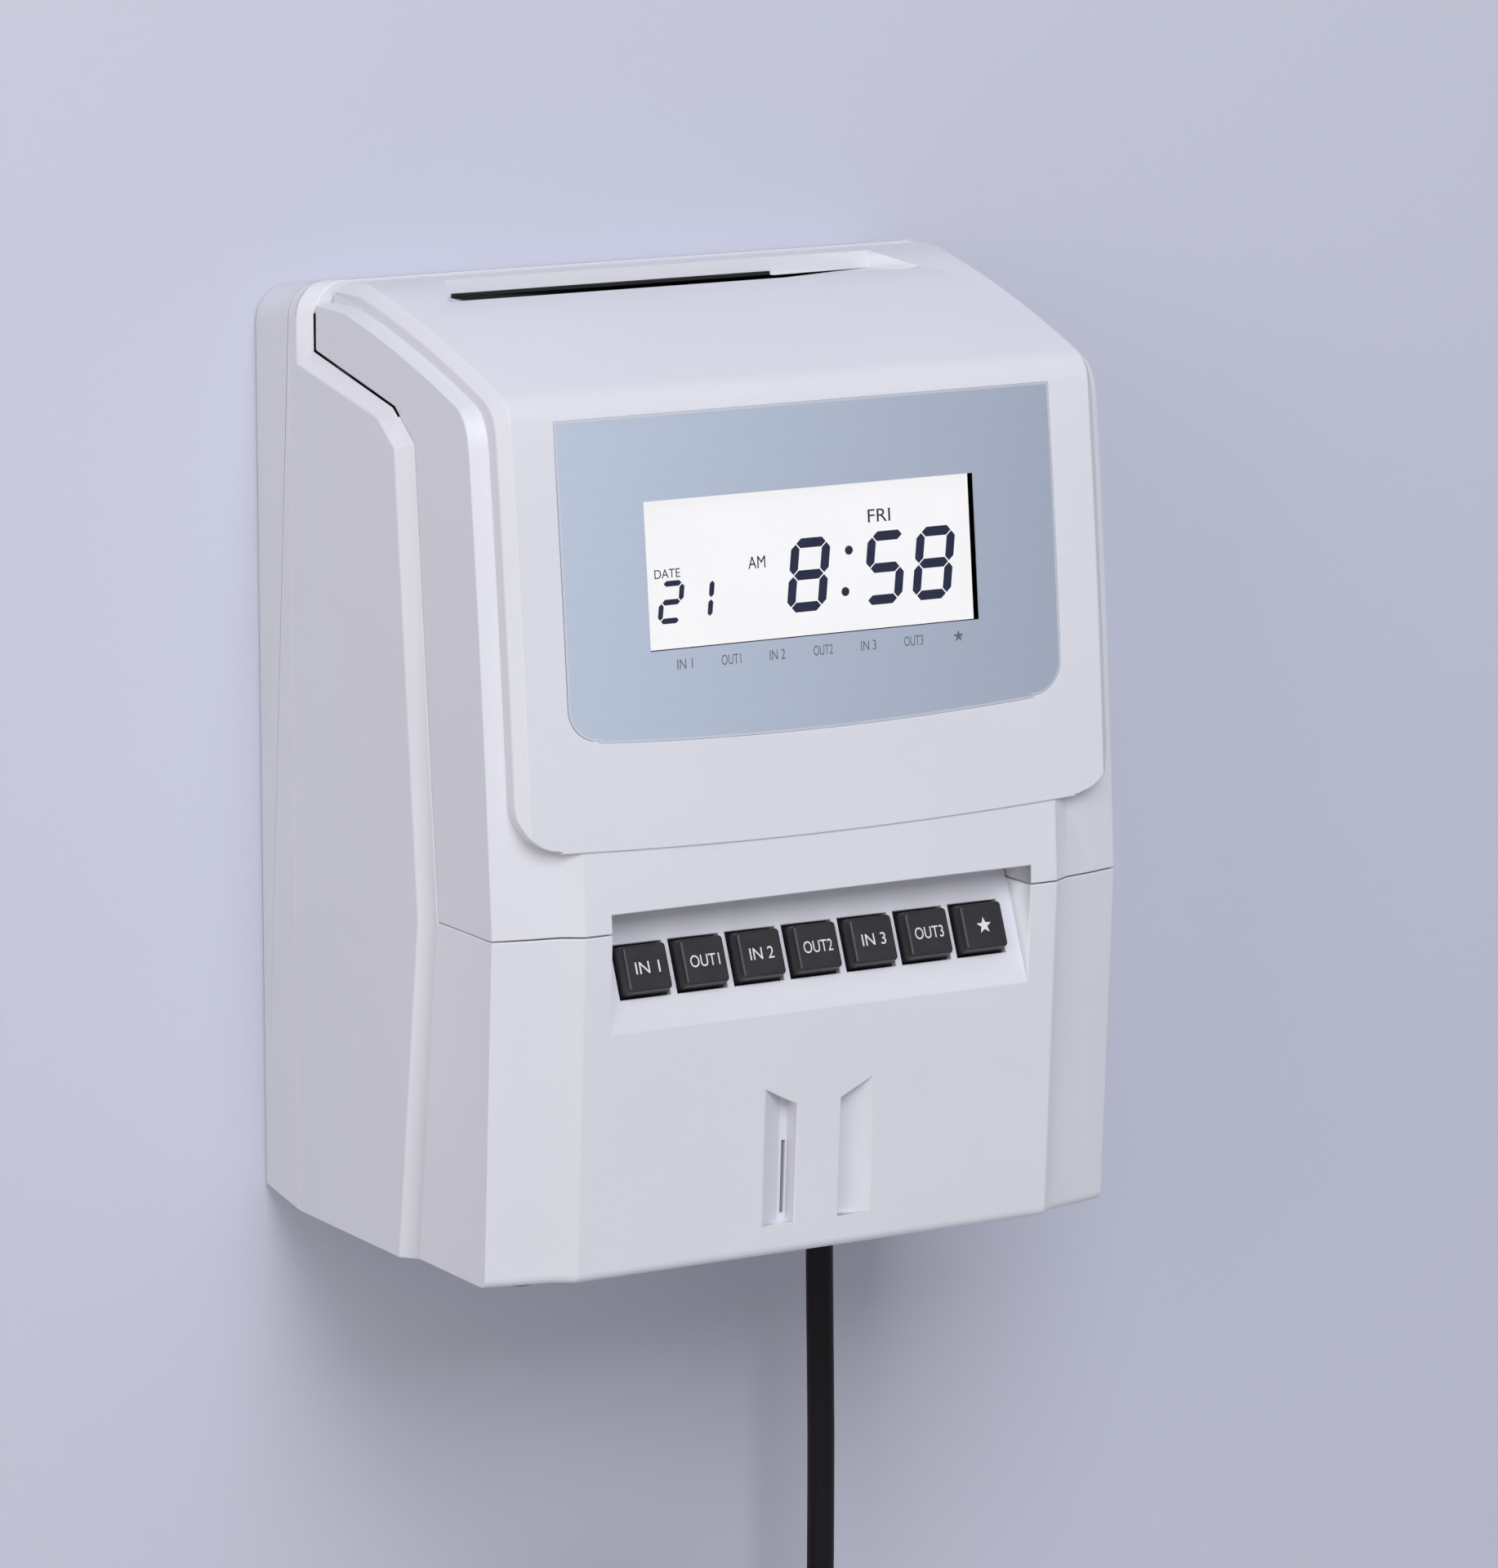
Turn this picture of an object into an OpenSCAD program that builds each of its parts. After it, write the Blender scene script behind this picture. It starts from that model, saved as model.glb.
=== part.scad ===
// Wall time clock: a card time recorder with a printing mechanism behind a hinged cover.
// Heights (h) are measured from the underside of the housing and depths (d) from the wall.
// The finished clock is lowered by hang_h, so the origin lies on the wall between the hanging holes.

/* [Housing] */
// Width over the two side cheeks
case_w = 180; // [174:1:200]
// Height of the housing
case_h = 231; // [228:1:244]
// Depth of the rear case
rear_d = 18; // [16:0.5:20]
// Wall of the moulded shells
wall = 2.5; // [2:0.1:3]
// Radius of the upper corners, seen from the front
corner_r = 8.5; // [6:0.5:10]
// How far the cover and the lower front stand in from the cheeks
cheek_step = 3.4; // [2.5:0.1:3.8]
// Width of the chamfer round the cheeks
cheek_chamfer = 4; // [2.5:0.1:5]
// Depth of the cheek's front edge at the underside
cheek_d_low = 75; // [70:1:80]
// Depth of the cheek's front edge at the front seam
cheek_d_seam = 86; // [82:1:90]
// Depth of the cheek's front edge at the shoulder
cheek_d_top = 76; // [72:1:80]
// Drop of the shoulder below the top
shoulder_drop = 33; // [30:1:36]
// Drop of the sloping seam below the top, at the rear rail
rail_drop = 17; // [15:0.5:19]
// Drop of the sloping seam below the top, at the knee
knee_drop = 25.5; // [23:0.5:28]
// Depth of the knee between slope and shoulder
knee_d = 66; // [62:1:69]
// Depth of the rear rail's front edge
rail_d = 25.3; // [24:0.1:26]
// Height of the seam between lower housing and cover
seam_h = 84.7; // [82:0.1:88]
// Depth of the front panel at the underside
front_d_low = 115.3; // [113:0.1:117]
// Depth of the front panel at the seam
front_d_seam = 119.8; // [118.5:0.1:121]
// Half width of the front panel
panel_half = 65.5; // [63:0.5:67]
// Width of the chamfers beside the front panel
panel_chamfer = 4.8; // [3.5:0.1:6]
// Step from the front panel back to the corner pilasters
pilaster_drop = 3; // [2.5:0.1:4]
// Further drop of the pilasters towards their outer edges
pilaster_sweep = 4; // [3:0.1:4.5]
// Radius of the lower front edge
edge_r = 2.6; // [1.5:0.1:4]
// Rise of the rear case's underside at the wall
bottom_rise = 3; // [1:0.5:5]
// Drop of the rear case's top at the wall
back_drop = 4; // [2:0.5:5]
// Clearance along the cover's seams
seam_gap = 0.35; // [0.3:0.05:0.6]
// Height of the hanging holes above the underside
hang_h = 170; // [150:1:190]
// Distance between the hanging holes
hang_spacing = 100; // [80:1:120]
// Radius of a hanging hole's entry
hang_r = 4.5; // [4:0.1:5.5]
// Width of the neck above a hanging hole
hang_neck = 4.6; // [4:0.1:5.5]
// Radius of a rubber foot
foot_r = 5; // [4:0.5:6]
// Height of a rubber foot
foot_h = 2; // [1.5:0.1:3]

/* [Finger grip] */
// Width of the rib between the finger recesses
rib_w = 12.4; // [10:0.2:15]
// Width of one finger recess
recess_w = 9; // [7:0.5:11]
// Depth of a finger recess beside the rib
recess_depth = 4.5; // [3:0.1:5]
// Height of the recesses' lower end
recess_low = 8; // [6:0.5:12]
// Height of the recesses' upper end beside the rib
recess_high = 37.5; // [30:0.5:44]
// Rise of the slanted upper end across a recess
recess_slant = 4.5; // [2:0.5:7]
// Width of the slits beside the rib
slit_w = 0.9; // [0.6:0.1:1.2]

/* [Cover] */
// Radius of the cover's rounded rear lip, about the hinge axis
lip_r = 7.4; // [7:0.1:7.6]
// Half width of the raised display field
field_half = 82; // [80:0.5:83]
// Height of the display field's lower edge
field_low = 106; // [104:0.5:110]
// Step from the display field down to the front panel
field_step = 0.6; // [0.4:0.1:1]
// Slope of the display field at the seam
field_lean = 0.054; // [0.04:0.002:0.07]
// Growth of that slope with the height
field_bow = 0.00026; // [0.0001:0.00002:0.0004]
// Chamfer along the display field's edges
field_edge = 2.6; // [1.5:0.1:3]
// Radius of the display field's lower corners
field_corner_r = 11; // [8:0.5:14]
// Sag of the display field's lower edge at its middle
field_sag = 2.5; // [1:0.5:4]
// Slope of the top at its crest
top_lean = 0.193; // [0.15:0.005:0.2]
// Growth of that slope with the depth
top_bow = 0.00142; // [0.001:0.0001:0.0016]
// Run of the rounded brow between top and front
brow_run = 5; // [3:0.5:7]
// Depth of the crest behind the card trough
crest_d = 40; // [39:0.5:40.5]
// Drop of the cover's side edges below the display field
side_drop = 6; // [5:0.5:8]
// Half width of the trough at its front lip
trough_half = 66; // [64:0.5:68]
// Depth of the trough's front lip
trough_d = 55; // [53:0.5:57]
// Depth of the trough below the crest
trough_drop = 4.2; // [3.6:0.1:5]
// Inward taper of the trough's ends
trough_taper = 7; // [4:0.5:9]
// Hinge pin radius
pin_r = 1.8; // [1.5:0.1:2]
// Half distance between the outer faces of the hinge ears
ear_half = 74; // [72:0.5:78]
// Thickness of hinge ears and lugs
ear_t = 4; // [3:0.1:5]

/* [Display] */
// Half width of the label panel
label_half = 68; // [66:0.5:71]
// Drop of the label's upper edge below the top
label_drop = 25; // [24.5:0.5:27]
// Height of the label panel
label_h = 75; // [70:0.5:78]
// Sag of the label's lower edge at its middle
label_sag = 2.5; // [1:0.5:4]
// Radius of the label's lower corners
label_r = 8; // [5:0.5:11]
// Thickness of the label panel
label_t = 0.8; // [0.5:0.1:1.2]
// Width of the display opening
view_w = 90.7; // [86:0.1:96]
// Height of the display opening
view_h = 35.3; // [32:0.1:40]
// Drop of the display opening's middle below the top
view_drop = 62.8; // [60:0.1:66]
// Overlap of lens and display behind the opening
view_lap = 3; // [2:0.1:4]
// Thickness of the lens
lens_t = 1.5; // [1:0.1:2]
// Thickness of the display glass
lcd_t = 2.8; // [2:0.1:3.5]
// Thickness of the backlight
light_t = 4; // [3:0.1:5]

/* [Keys] */
// Half width of the key pocket
pocket_half = 58; // [57:0.5:61]
// Height of the key pocket's lower edge
pocket_low = 60.5; // [58:0.5:62]
// Height of the key pocket's upper edge
pocket_high = 89.5; // [88:0.5:91]
// Depth of the key pocket at its upper edge
pocket_depth = 13; // [11:0.5:15]
// Distance between keys
key_pitch = 15.6; // [15.4:0.1:16]
// Width of a key
key_w = 13; // [11:0.1:13.4]
// Height of a key
key_h = 12.5; // [11:0.1:13]
// Height of a key above the pocket's floor
key_proud = 3.6; // [3:0.1:5]
// Travel of a key
key_travel = 2; // [1.5:0.1:2.4]
// Clearance round a key
key_gap = 0.35; // [0.3:0.05:0.5]

/* [Card path] */
// Width of the card slot
slot_w = 86.8; // [84:0.1:90]
// Offset of the card slot's middle from the centre line
slot_x = -13.9; // [-16:0.1:-12]
// Gap between the card guides
card_gap = 4.8; // [4.6:0.1:5.2]
// Thickness of the black liner in the card slot
liner_t = 0.8; // [0.6:0.1:1]
// Thickness of the card guides
guide_t = 1.7; // [1.4:0.1:2]
// Height of the card stop above the underside
card_low = 36; // [30:1:42]

/* [Mechanism] */
// Depth of the chassis plate's front
chassis_d = 29.5; // [28.5:0.5:30]
// Thickness of the chassis sheet
sheet_t = 1.5; // [1.2:0.1:2]
// Distance from the card slot's edge to the chassis cheeks
cheek_room = 6; // [5:0.5:8]
// Height of the feed rollers' axis
feed_h = 112; // [110:1:114]
// Radius of the feed rollers
feed_r = 7.6; // [7:0.1:8]
// Radius of the pinch rollers
pinch_r = 5.5; // [5:0.1:5.6]
// Length of one feed or pinch roller
roller_len = 12; // [8:0.5:16]
// Distance between the two rollers on a shaft
roller_spacing = 50; // [40:1:60]
// Radius of the feed shaft
shaft_r = 2.5; // [2:0.1:3]
// Radius of the pinch shaft
pinch_shaft_r = 1.4; // [1:0.1:1.5]
// Gear module
gear_module = 0.8; // [0.7:0.05:0.9]
// Teeth on the feed gear
gear_teeth = 36; // [32:1:38]
// Teeth on the motor pinion
pinion_teeth = 12; // [11:1:14]
// Width of the gears
gear_w = 5; // [4:0.5:6]
// Radius of the feed motor
motor_r = 9; // [8:0.1:9.5]
// Length of the feed motor
motor_len = 16; // [12:0.5:20]
// Height of the guide rod above the feed rollers
rod_rise = 21; // [20:0.5:23]
// Depth of guide rod and lead screw
rod_d = 72; // [71:0.5:74]
// Radius of the guide rod
rod_r = 3; // [2.5:0.1:3.5]
// Radius of the lead screw
screw_r = 2.5; // [2:0.1:3]
// Height of the lead screw above the guide rod
screw_rise = 18; // [16:0.5:20]
// Width of the print carriage
carriage_w = 20; // [16:0.5:24]
// Clearance between the print carriage and the chassis cheek at rest
carriage_room = 2.4; // [1:0.1:4]
// Radial clearance of turning and sliding fits
run_gap = 0.05; // [0.03:0.01:0.1]
// Radial clearance of fixed fits
fixed_gap = 0.02; // [0.01:0.01:0.03]
// Height of the ribbon cassette
cassette_h = 30; // [24:0.5:32]
// Thickness of the ribbon cassette
cassette_t = 12; // [10:0.5:13]
// Radius of the ribbon knob
knob_r = 7; // [5:0.5:9]

/* [Power and cord] */
// Width of the transformer
transformer_w = 42; // [36:0.5:46]
// Height of the transformer
transformer_h = 38; // [30:0.5:42]
// Diameter of the cord
cord_dia = 7; // [6.6:0.1:7]
// Gap between neighbouring loops of the coil
coil_gap = 0.8; // [0.6:0.1:1.2]
// Mean radius of the coil's loops
coil_r = 41; // [38:0.5:42]
// Length of the plug
plug_len = 30; // [26:0.5:36]

/* [Hidden] */
$fn = 48;
half_w = case_w / 2;
side_half = half_w - cheek_step;
clear = 0.3;
// Depth and height of the card trough's foot, where the slot lies
slot_d = crest_d + 2;
slot_h = case_h - trough_drop;
// Hinge axis: the cover's rear lip is round about it, so that the lip turns inside the rear rail
hinge_d = rail_d + seam_gap + lip_r;
hinge_h = case_h - lip_r;
hinge_boss = lip_r - wall - clear;
// The cover's outer front edges stand back this far from the display field
side_back = field_step + pilaster_drop + pilaster_sweep;
pilaster_half = panel_half + panel_chamfer;
// Share of the sweep reached halfway across a pilaster, which rounds its face
pilaster_crown = 0.42;
rail_h = case_h - rail_drop;
knee_h = case_h - knee_drop;
shoulder_h = case_h - shoulder_drop;
// Thickness of the rail across the top of the housing
rail_t = 8;
far = 400;
// Thickness of the slices that a tapering form is drawn between
slice = 0.2;

// A point of a side view from its depth and height
function at(d, h) = [-d, h];

function arc(centre, r, a0, a1, steps) =
  [for (i = [0:steps]) let (a = a0 + (a1 - a0) * i / max(steps, 1)) centre + r * [cos(a), sin(a)]];

function bend(a, corner, b, steps) =
  [for (i = [0:steps]) let (t = i / steps) a * (1 - t) * (1 - t) + corner * 2 * t * (1 - t) + b * t * t];

// Height of the rear case's and rail's top, which slopes down to the wall
function back_top(d) = case_h - back_drop * (1 - d / rail_d);

// Depth of the lower front panel at a height
function panel_front(h) = front_d_low + (front_d_seam - front_d_low) * h / seam_h;

// Depth of the display field at a height, and height of the top at a depth
function field_front(h) =
  front_d_seam + field_step - field_lean * (h - seam_h) - field_bow * pow(h - seam_h, 2);
function field_top(d) = case_h - top_lean * max(0, d - crest_d) - top_bow * pow(max(0, d - crest_d), 2);

// The brow is where top and display field would meet
function brow(d, steps) = steps == 0 ? d : brow(field_front(field_top(d)), steps - 1);
brow_d = brow(front_d_seam - wall, 8);
brow_h = field_top(brow_d);

// Rear lip of the cover from the hinge's height up to an angle
function lip_arc(a, lip) = arc(at(hinge_d, hinge_h), lip, min(a, 0), a, a > 0 ? 6 : 0);

// Side view of the upper body, set in by drop at the top and by back at the front
function upper_side(drop, back, lip, low) = concat(
  [at(hinge_d - lip, low)],
  lip_arc(asin(max(-1, min(1, (lip_r - drop) / lip))), lip),
  [for (i = [0:5]) let (d = crest_d + (brow_d - back - brow_run - crest_d) * i / 5)
    at(d, field_top(d) - drop)],
  bend(
    at(brow_d - back - brow_run, field_top(brow_d - back - brow_run) - drop),
    at(field_front(brow_h) - back, field_top(brow_d - back) - drop),
    at(field_front(brow_h - brow_run - drop) - back, brow_h - brow_run - drop), 4),
  [for (i = [1:6]) let (h = brow_h - brow_run - drop + (low - brow_h + brow_run + drop) * i / 6)
    at(field_front(h) - back, h)]);

// Side view of the cheeks, set in by the chamfer
function cheek_side(inset) = [
  at(rear_d, 0),
  at(cheek_d_low - inset, 0),
  at(cheek_d_seam - inset, seam_h),
  at(cheek_d_top - inset, shoulder_h - inset / 3),
  at(knee_d - inset * 2 / 3, knee_h - inset * 2 / 3),
  at(rail_d, rail_h - inset),
  at(rear_d, rail_h + (rail_h - knee_h) / (knee_d - rail_d) * (rail_d - rear_d) - inset)];

// Side view of the lower front, set back behind the panel
function lower_side(back) = concat(
  [at(rail_d, seam_h), at(rail_d, 0)],
  arc(at(panel_front(0) - back - edge_r, edge_r), edge_r, 270, 180, 4),
  [at(panel_front(seam_h) - back, seam_h)]);

// Extrusion of a side view between two places across the width
module across(x0, x1) translate([x0, 0, 0]) rotate([90, 0, 90]) linear_extrude(x1 - x0) children();

module wide(half) across(-half, half) children();

// Extrusion of a front view between two depths
module deep(d0, d1) translate([0, -d0, 0]) rotate([90, 0, 0]) linear_extrude(d1 - d0) children();

// Bar along X, pin along X, and a pair of mirrored shapes
module bar(x0, x1, d0, d1, h0, h1) translate([x0, -d1, h0]) cube([x1 - x0, d1 - d0, h1 - h0]);

module pin(r, x0, x1, d, h) translate([x0, -d, h]) rotate([0, 90, 0]) cylinder(r = r, h = x1 - x0);

module post(r, x, h, d0, d1) translate([x, -d0, h]) rotate([90, 0, 0]) cylinder(r = r, h = d1 - d0);

module both_sides() {
  children();
  mirror([1, 0, 0]) children();
}

module at_wall() translate([0, 0, -hang_h]) children();

// Front view of the housing with round upper corners
module arch_view(half, low, high, r, $fn = 32) {
  translate([-half, low]) square([2 * half, high - low - r]);
  translate([r - half, low]) square([2 * (half - r), high - low]);
  for (s = [-1, 1]) translate([s * (half - r), high - r]) circle(r);
}

// Front view of a plate whose lower corners are round and whose lower edge sags
module sagging_view(half, low, high, r, sag) {
  bow_r = (half * half + sag * sag) / (2 * sag);
  intersection() {
    union() {
      translate([-half, low + r]) square([2 * half, high - low - r]);
      translate([r - half, low - sag]) square([2 * (half - r), high - low + sag]);
      for (s = [-1, 1]) translate([s * (half - r), low + r]) circle(r);
    }
    translate([0, low - sag + bow_r]) circle(bow_r, $fn = 360);
  }
}

hang_x = hang_spacing / 2;
back_t = 3;
post_d = chassis_d - sheet_t;
screw_post_r = 4;
screw_r_body = 1.5;
screw_x = half_w - 16;
screw_rows = [14, case_h - 22];
post_x = half_w - 32;
post_rows = [30, case_h - 90];

module keyhole_view() {
  circle(hang_r);
  translate([-hang_neck / 2, 0]) square([hang_neck, 2 * hang_r]);
  translate([0, 2 * hang_r]) circle(d = hang_neck);
}

// Shallow tray against the wall, with the hanging holes and the posts for chassis and housing
module rear_case() color("gainsboro") at_wall() difference() {
  union() {
    difference() {
      hull() {
        deep(0, slice) arch_view(half_w, 0, back_top(0), corner_r);
        deep(rear_d - slice, rear_d) arch_view(half_w, 0, back_top(rear_d), corner_r);
      }
      deep(back_t, rear_d + 1)
        arch_view(half_w - wall, wall + bottom_rise, back_top(0) - wall, corner_r - wall);
    }
    for (s = [-1, 1], h = screw_rows) post(screw_post_r, s * screw_x, h, back_t, rear_d);
    for (s = [-1, 1], h = post_rows) post(screw_post_r, s * post_x, h, back_t, post_d);
    for (s = [-1, 1], h = pcb_rows) post(pcb_post_r, s * (pcb_half - pcb_in), h, back_t, pcb_d);
  }
  wide(far) polygon([at(-1, -1), at(rear_d, -1), at(rear_d, 0), at(0, bottom_rise), at(-1, bottom_rise)]);
  for (s = [-1, 1]) deep(-1, back_t + 1) translate([s * hang_x, hang_h]) keyhole_view();
  for (s = [-1, 1], h = screw_rows) post(screw_r_body + fixed_gap, s * screw_x, h, -1, rear_d + 1);
  for (s = [-1, 1], h = screw_rows) post(screw_post_r - wall / 2, s * screw_x, h, -1, back_t);
}

front_lean = atan((front_d_seam - front_d_low) / seam_h);
pilaster_back = pilaster_drop + pilaster_sweep;
inner_half = side_half - wall;
cheek_inner = side_half + clear;
boss_len = 12;
ear_web = 0.8;
ear_low = hinge_h - lip_r - boss_len;
slit_in = 0.4;
slit_low = recess_low + 1.5;
slit_high = recess_high - 10;

// Floor of the key pocket: it starts flush with the front panel and slopes back
floor_tilt = atan((panel_front(pocket_low) - front_d_seam + pocket_depth) / (pocket_high - pocket_low));
floor_run = wall / cos(floor_tilt);
row_h = (pocket_low + pocket_high) / 2 - 1;
function floor_d(h) = panel_front(pocket_low) - tan(floor_tilt) * (h - pocket_low);
key_count = 7;
function key_x(i) = (i - (key_count - 1) / 2) * key_pitch;

// Frame on the pocket's floor: x to the right, y up the slope, z out of the floor
module on_floor() translate([0, -floor_d(row_h), row_h]) rotate([90 - floor_tilt, 0, 0]) children();

// Front panel, pilasters and underside of the lower housing as one convex body
module lower_body() {
  hull() {
    wide(side_half) polygon(lower_side(pilaster_back));
    wide((side_half + pilaster_half) / 2)
      polygon(lower_side(pilaster_drop + pilaster_sweep * pilaster_crown));
    wide(pilaster_half) polygon(lower_side(pilaster_drop));
  }
  hull() {
    wide(pilaster_half) polygon(lower_side(pilaster_drop));
    wide(panel_half) polygon(lower_side(0));
  }
}

// Cheeks with their chamfer, and the arched rail behind the cover
module cheek_body() {
  hull() {
    wide(half_w) polygon(cheek_side(cheek_chamfer));
    wide(side_half) polygon(cheek_side(0));
  }
  hull() {
    deep(rear_d, rear_d + slice) arch_view(half_w, rail_h - rail_t, back_top(rear_d), corner_r);
    deep(rail_d - cheek_step - slice, rail_d - cheek_step)
      arch_view(half_w, rail_h - rail_t, back_top(rail_d - cheek_step), corner_r);
    deep(rail_d - slice, rail_d) arch_view(side_half, rail_h - rail_t, case_h - clear, corner_r - clear);
  }
}

module housing_cavity() {
  wide(inner_half) polygon([
    at(rear_d - 1, wall),
    at(panel_front(0) - pilaster_back - wall, wall),
    at(panel_front(seam_h) - pilaster_back - wall, seam_h + 1),
    at(panel_front(seam_h) - pilaster_back - wall, far),
    at(rail_d, far),
    at(rail_d, case_h - rail_t),
    at(rear_d - 1, case_h - rail_t)]);
  wide(cheek_inner) polygon([
    at(rear_d - 1, wall),
    at(cheek_d_low - cheek_chamfer - wall, wall),
    at(cheek_d_low - cheek_chamfer - wall, far),
    at(rail_d, far),
    at(rail_d, case_h - rail_t),
    at(rear_d - 1, case_h - rail_t)]);
  wide(panel_half - wall) polygon([
    at(cheek_d_low, wall + edge_r),
    at(panel_front(0) - wall, wall + edge_r),
    at(panel_front(seam_h) - wall, seam_h + 1),
    at(cheek_d_low, seam_h + 1)]);
}

// Solid behind the finger recesses, and the recesses with the slits beside the rib
module grip_pad() wide(rib_w / 2 + recess_w + wall) polygon([
  for (h = [recess_low - wall, recess_high + recess_slant + wall])
    at(panel_front(h) - recess_depth - wall, h),
  for (h = [recess_high + recess_slant + wall, recess_low - wall]) at(panel_front(h) - wall / 2, h)]);

module grip_recess() {
  intersection() {
    deep(cheek_d_low, far) polygon([
      [rib_w / 2, recess_low],
      [rib_w / 2 + recess_w, recess_low],
      [rib_w / 2 + recess_w, recess_high + recess_slant],
      [rib_w / 2, recess_high]]);
    translate([0, -front_d_low, 0]) rotate([front_lean, 0, 0]) linear_extrude(seam_h) polygon([
      [rib_w / 2, recess_depth],
      [rib_w / 2 + recess_w / 4, recess_depth],
      [rib_w / 2 + recess_w, 0],
      [rib_w / 2 + recess_w, -recess_w],
      [rib_w / 2, -recess_w]]);
  }
  bar(rib_w / 2 + slit_in, rib_w / 2 + slit_in + slit_w, cheek_d_low, far, slit_low, slit_high);
}

// Ear that carries a hinge pin; its foot runs back to the rail under the cover's turning lip
module hinge_ear() across(ear_half - ear_t, ear_half) difference() {
  union() {
    translate(at(hinge_d, hinge_h)) circle(hinge_boss);
    translate(at(hinge_d + hinge_boss, ear_low)) square([hinge_boss + ear_web, lip_r + boss_len]);
    translate(at(hinge_d + hinge_boss, ear_low)) square([hinge_d + hinge_boss - rear_d - 1, boss_len - 1]);
    translate(at(rail_d, ear_low)) square([rail_d - rear_d - 1, lip_r + boss_len]);
  }
  translate(at(hinge_d, hinge_h)) circle(pin_r + fixed_gap);
}

// Moulded lower housing: cheeks, front panel, key pocket, finger grip, hinge ears and screw bosses
module main_housing() color("whitesmoke") at_wall() difference() {
  union() {
    difference() {
      union() {
        cheek_body();
        lower_body();
      }
      housing_cavity();
    }
    wide(pocket_half + wall) polygon([
      at(panel_front(pocket_low) - wall / 2, pocket_low),
      at(panel_front(seam_h) - wall / 2, seam_h),
      at(floor_d(seam_h) - floor_run, seam_h),
      at(floor_d(pocket_low) - floor_run, pocket_low)]);
    wide(pocket_half - clear) polygon([
      at(floor_d(seam_h) - floor_run, seam_h),
      at(floor_d(seam_h), seam_h),
      at(floor_d(pocket_high + wall), pocket_high + wall),
      at(floor_d(pocket_high + wall) - floor_run, pocket_high + wall)]);
    grip_pad();
    both_sides() hinge_ear();
    for (h = screw_rows) both_sides() {
      post(screw_post_r, screw_x, h, rear_d, rear_d + boss_len);
      bar(screw_x, cheek_inner + wall / 2, rear_d, rear_d + boss_len, h - wall / 2, h + wall / 2);
    }
    on_floor() for (x = [-1, 1], y = [-1, 1])
      translate([x * board_post_x, y * board_post_y, -board_z - wall / 2])
      cylinder(r = board_post_r, h = board_z);
  }
  wide(pocket_half) polygon([
    at(floor_d(pocket_low), pocket_low),
    at(floor_d(pocket_high + 2 * wall), pocket_high + 2 * wall),
    at(far, pocket_high + 2 * wall),
    at(far, pocket_low)]);
  on_floor() for (i = [0:key_count - 1]) translate([key_x(i), 0, 0])
    cube([key_w + 2 * key_gap, key_h + 2 * key_gap, 4 * wall], center = true);
  both_sides() grip_recess();
  for (s = [-1, 1], h = screw_rows)
    post(screw_r_body + fixed_gap, s * screw_x, h, rear_d - 1, rear_d + boss_len - 2);
  translate([cord_x, -cord_d, -1]) cylinder(r = gland_r + fixed_gap, h = wall + 2);
}

// Thick under the trough, where the card slides in
module trough_view(grow) polygon([
  [trough_taper - trough_half - grow, grow - crest_d],
  [trough_half - trough_taper + grow, grow - crest_d],
  [trough_half + grow, -trough_d - grow],
  [-trough_half - grow, -trough_d - grow]]);

module trough_bed() intersection() {
  linear_extrude(far) trough_view(wall);
  wide(far) polygon([
    at(crest_d - wall, case_h - 1),
    at(crest_d - wall, case_h - wall),
    at(slot_d - wall, slot_h - wall),
    at(slot_d + card_gap + wall, slot_h - wall),
    at(trough_d + wall, field_top(trough_d) - 2 * wall),
    at(trough_d + wall, field_top(trough_d + wall) - 1)]);
}

// The card slot with its sides moved out
module slot_bar(grow, low, high) bar(
  slot_x - slot_w / 2 - grow, slot_x + slot_w / 2 + grow,
  slot_d - grow, slot_d + card_gap + grow, low, high);

module trough_cut() intersection() {
  linear_extrude(far) trough_view(0);
  wide(far) polygon([
    at(crest_d, far),
    at(crest_d, case_h),
    at(slot_d - liner_t - clear, slot_h),
    at(slot_d + card_gap + liner_t + clear, slot_h),
    at(trough_d, field_top(trough_d)),
    at(trough_d, far)]);
}

// Front strip of the cover between the seam and the display field
strip_high = field_low + field_corner_r + 4;
function strip_side(back, low) = concat(
  [at(cheek_d_seam, strip_high), at(cheek_d_seam, low)],
  [for (i = [0:3]) let (h = low + (strip_high - low) * i / 3) at(field_front(h) - back, h)]);

cover_low = seam_h + seam_gap;
shelf = 2;

module cover_body() {
  hull() {
    wide(side_half) polygon(upper_side(side_drop, side_back, lip_r, cover_low));
    wide((side_half + pilaster_half) / 2) polygon(upper_side(
      side_drop - shelf / 2, side_back - pilaster_sweep * (1 - pilaster_crown), lip_r, cover_low));
    wide(pilaster_half) polygon(upper_side(side_drop - shelf, side_back - pilaster_sweep, lip_r, cover_low));
  }
  hull() {
    wide(pilaster_half) polygon(strip_side(field_step + pilaster_drop, cover_low));
    wide(panel_half) polygon(strip_side(field_step, cover_low));
  }
  intersection() {
    hull() {
      wide(field_half) polygon(upper_side(field_edge, field_edge, lip_r, cover_low));
      wide(field_half - field_edge) polygon(upper_side(0, 0, lip_r, cover_low));
    }
    deep(0, far) sagging_view(field_half, field_low, far, field_corner_r, field_sag);
  }
}

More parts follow.
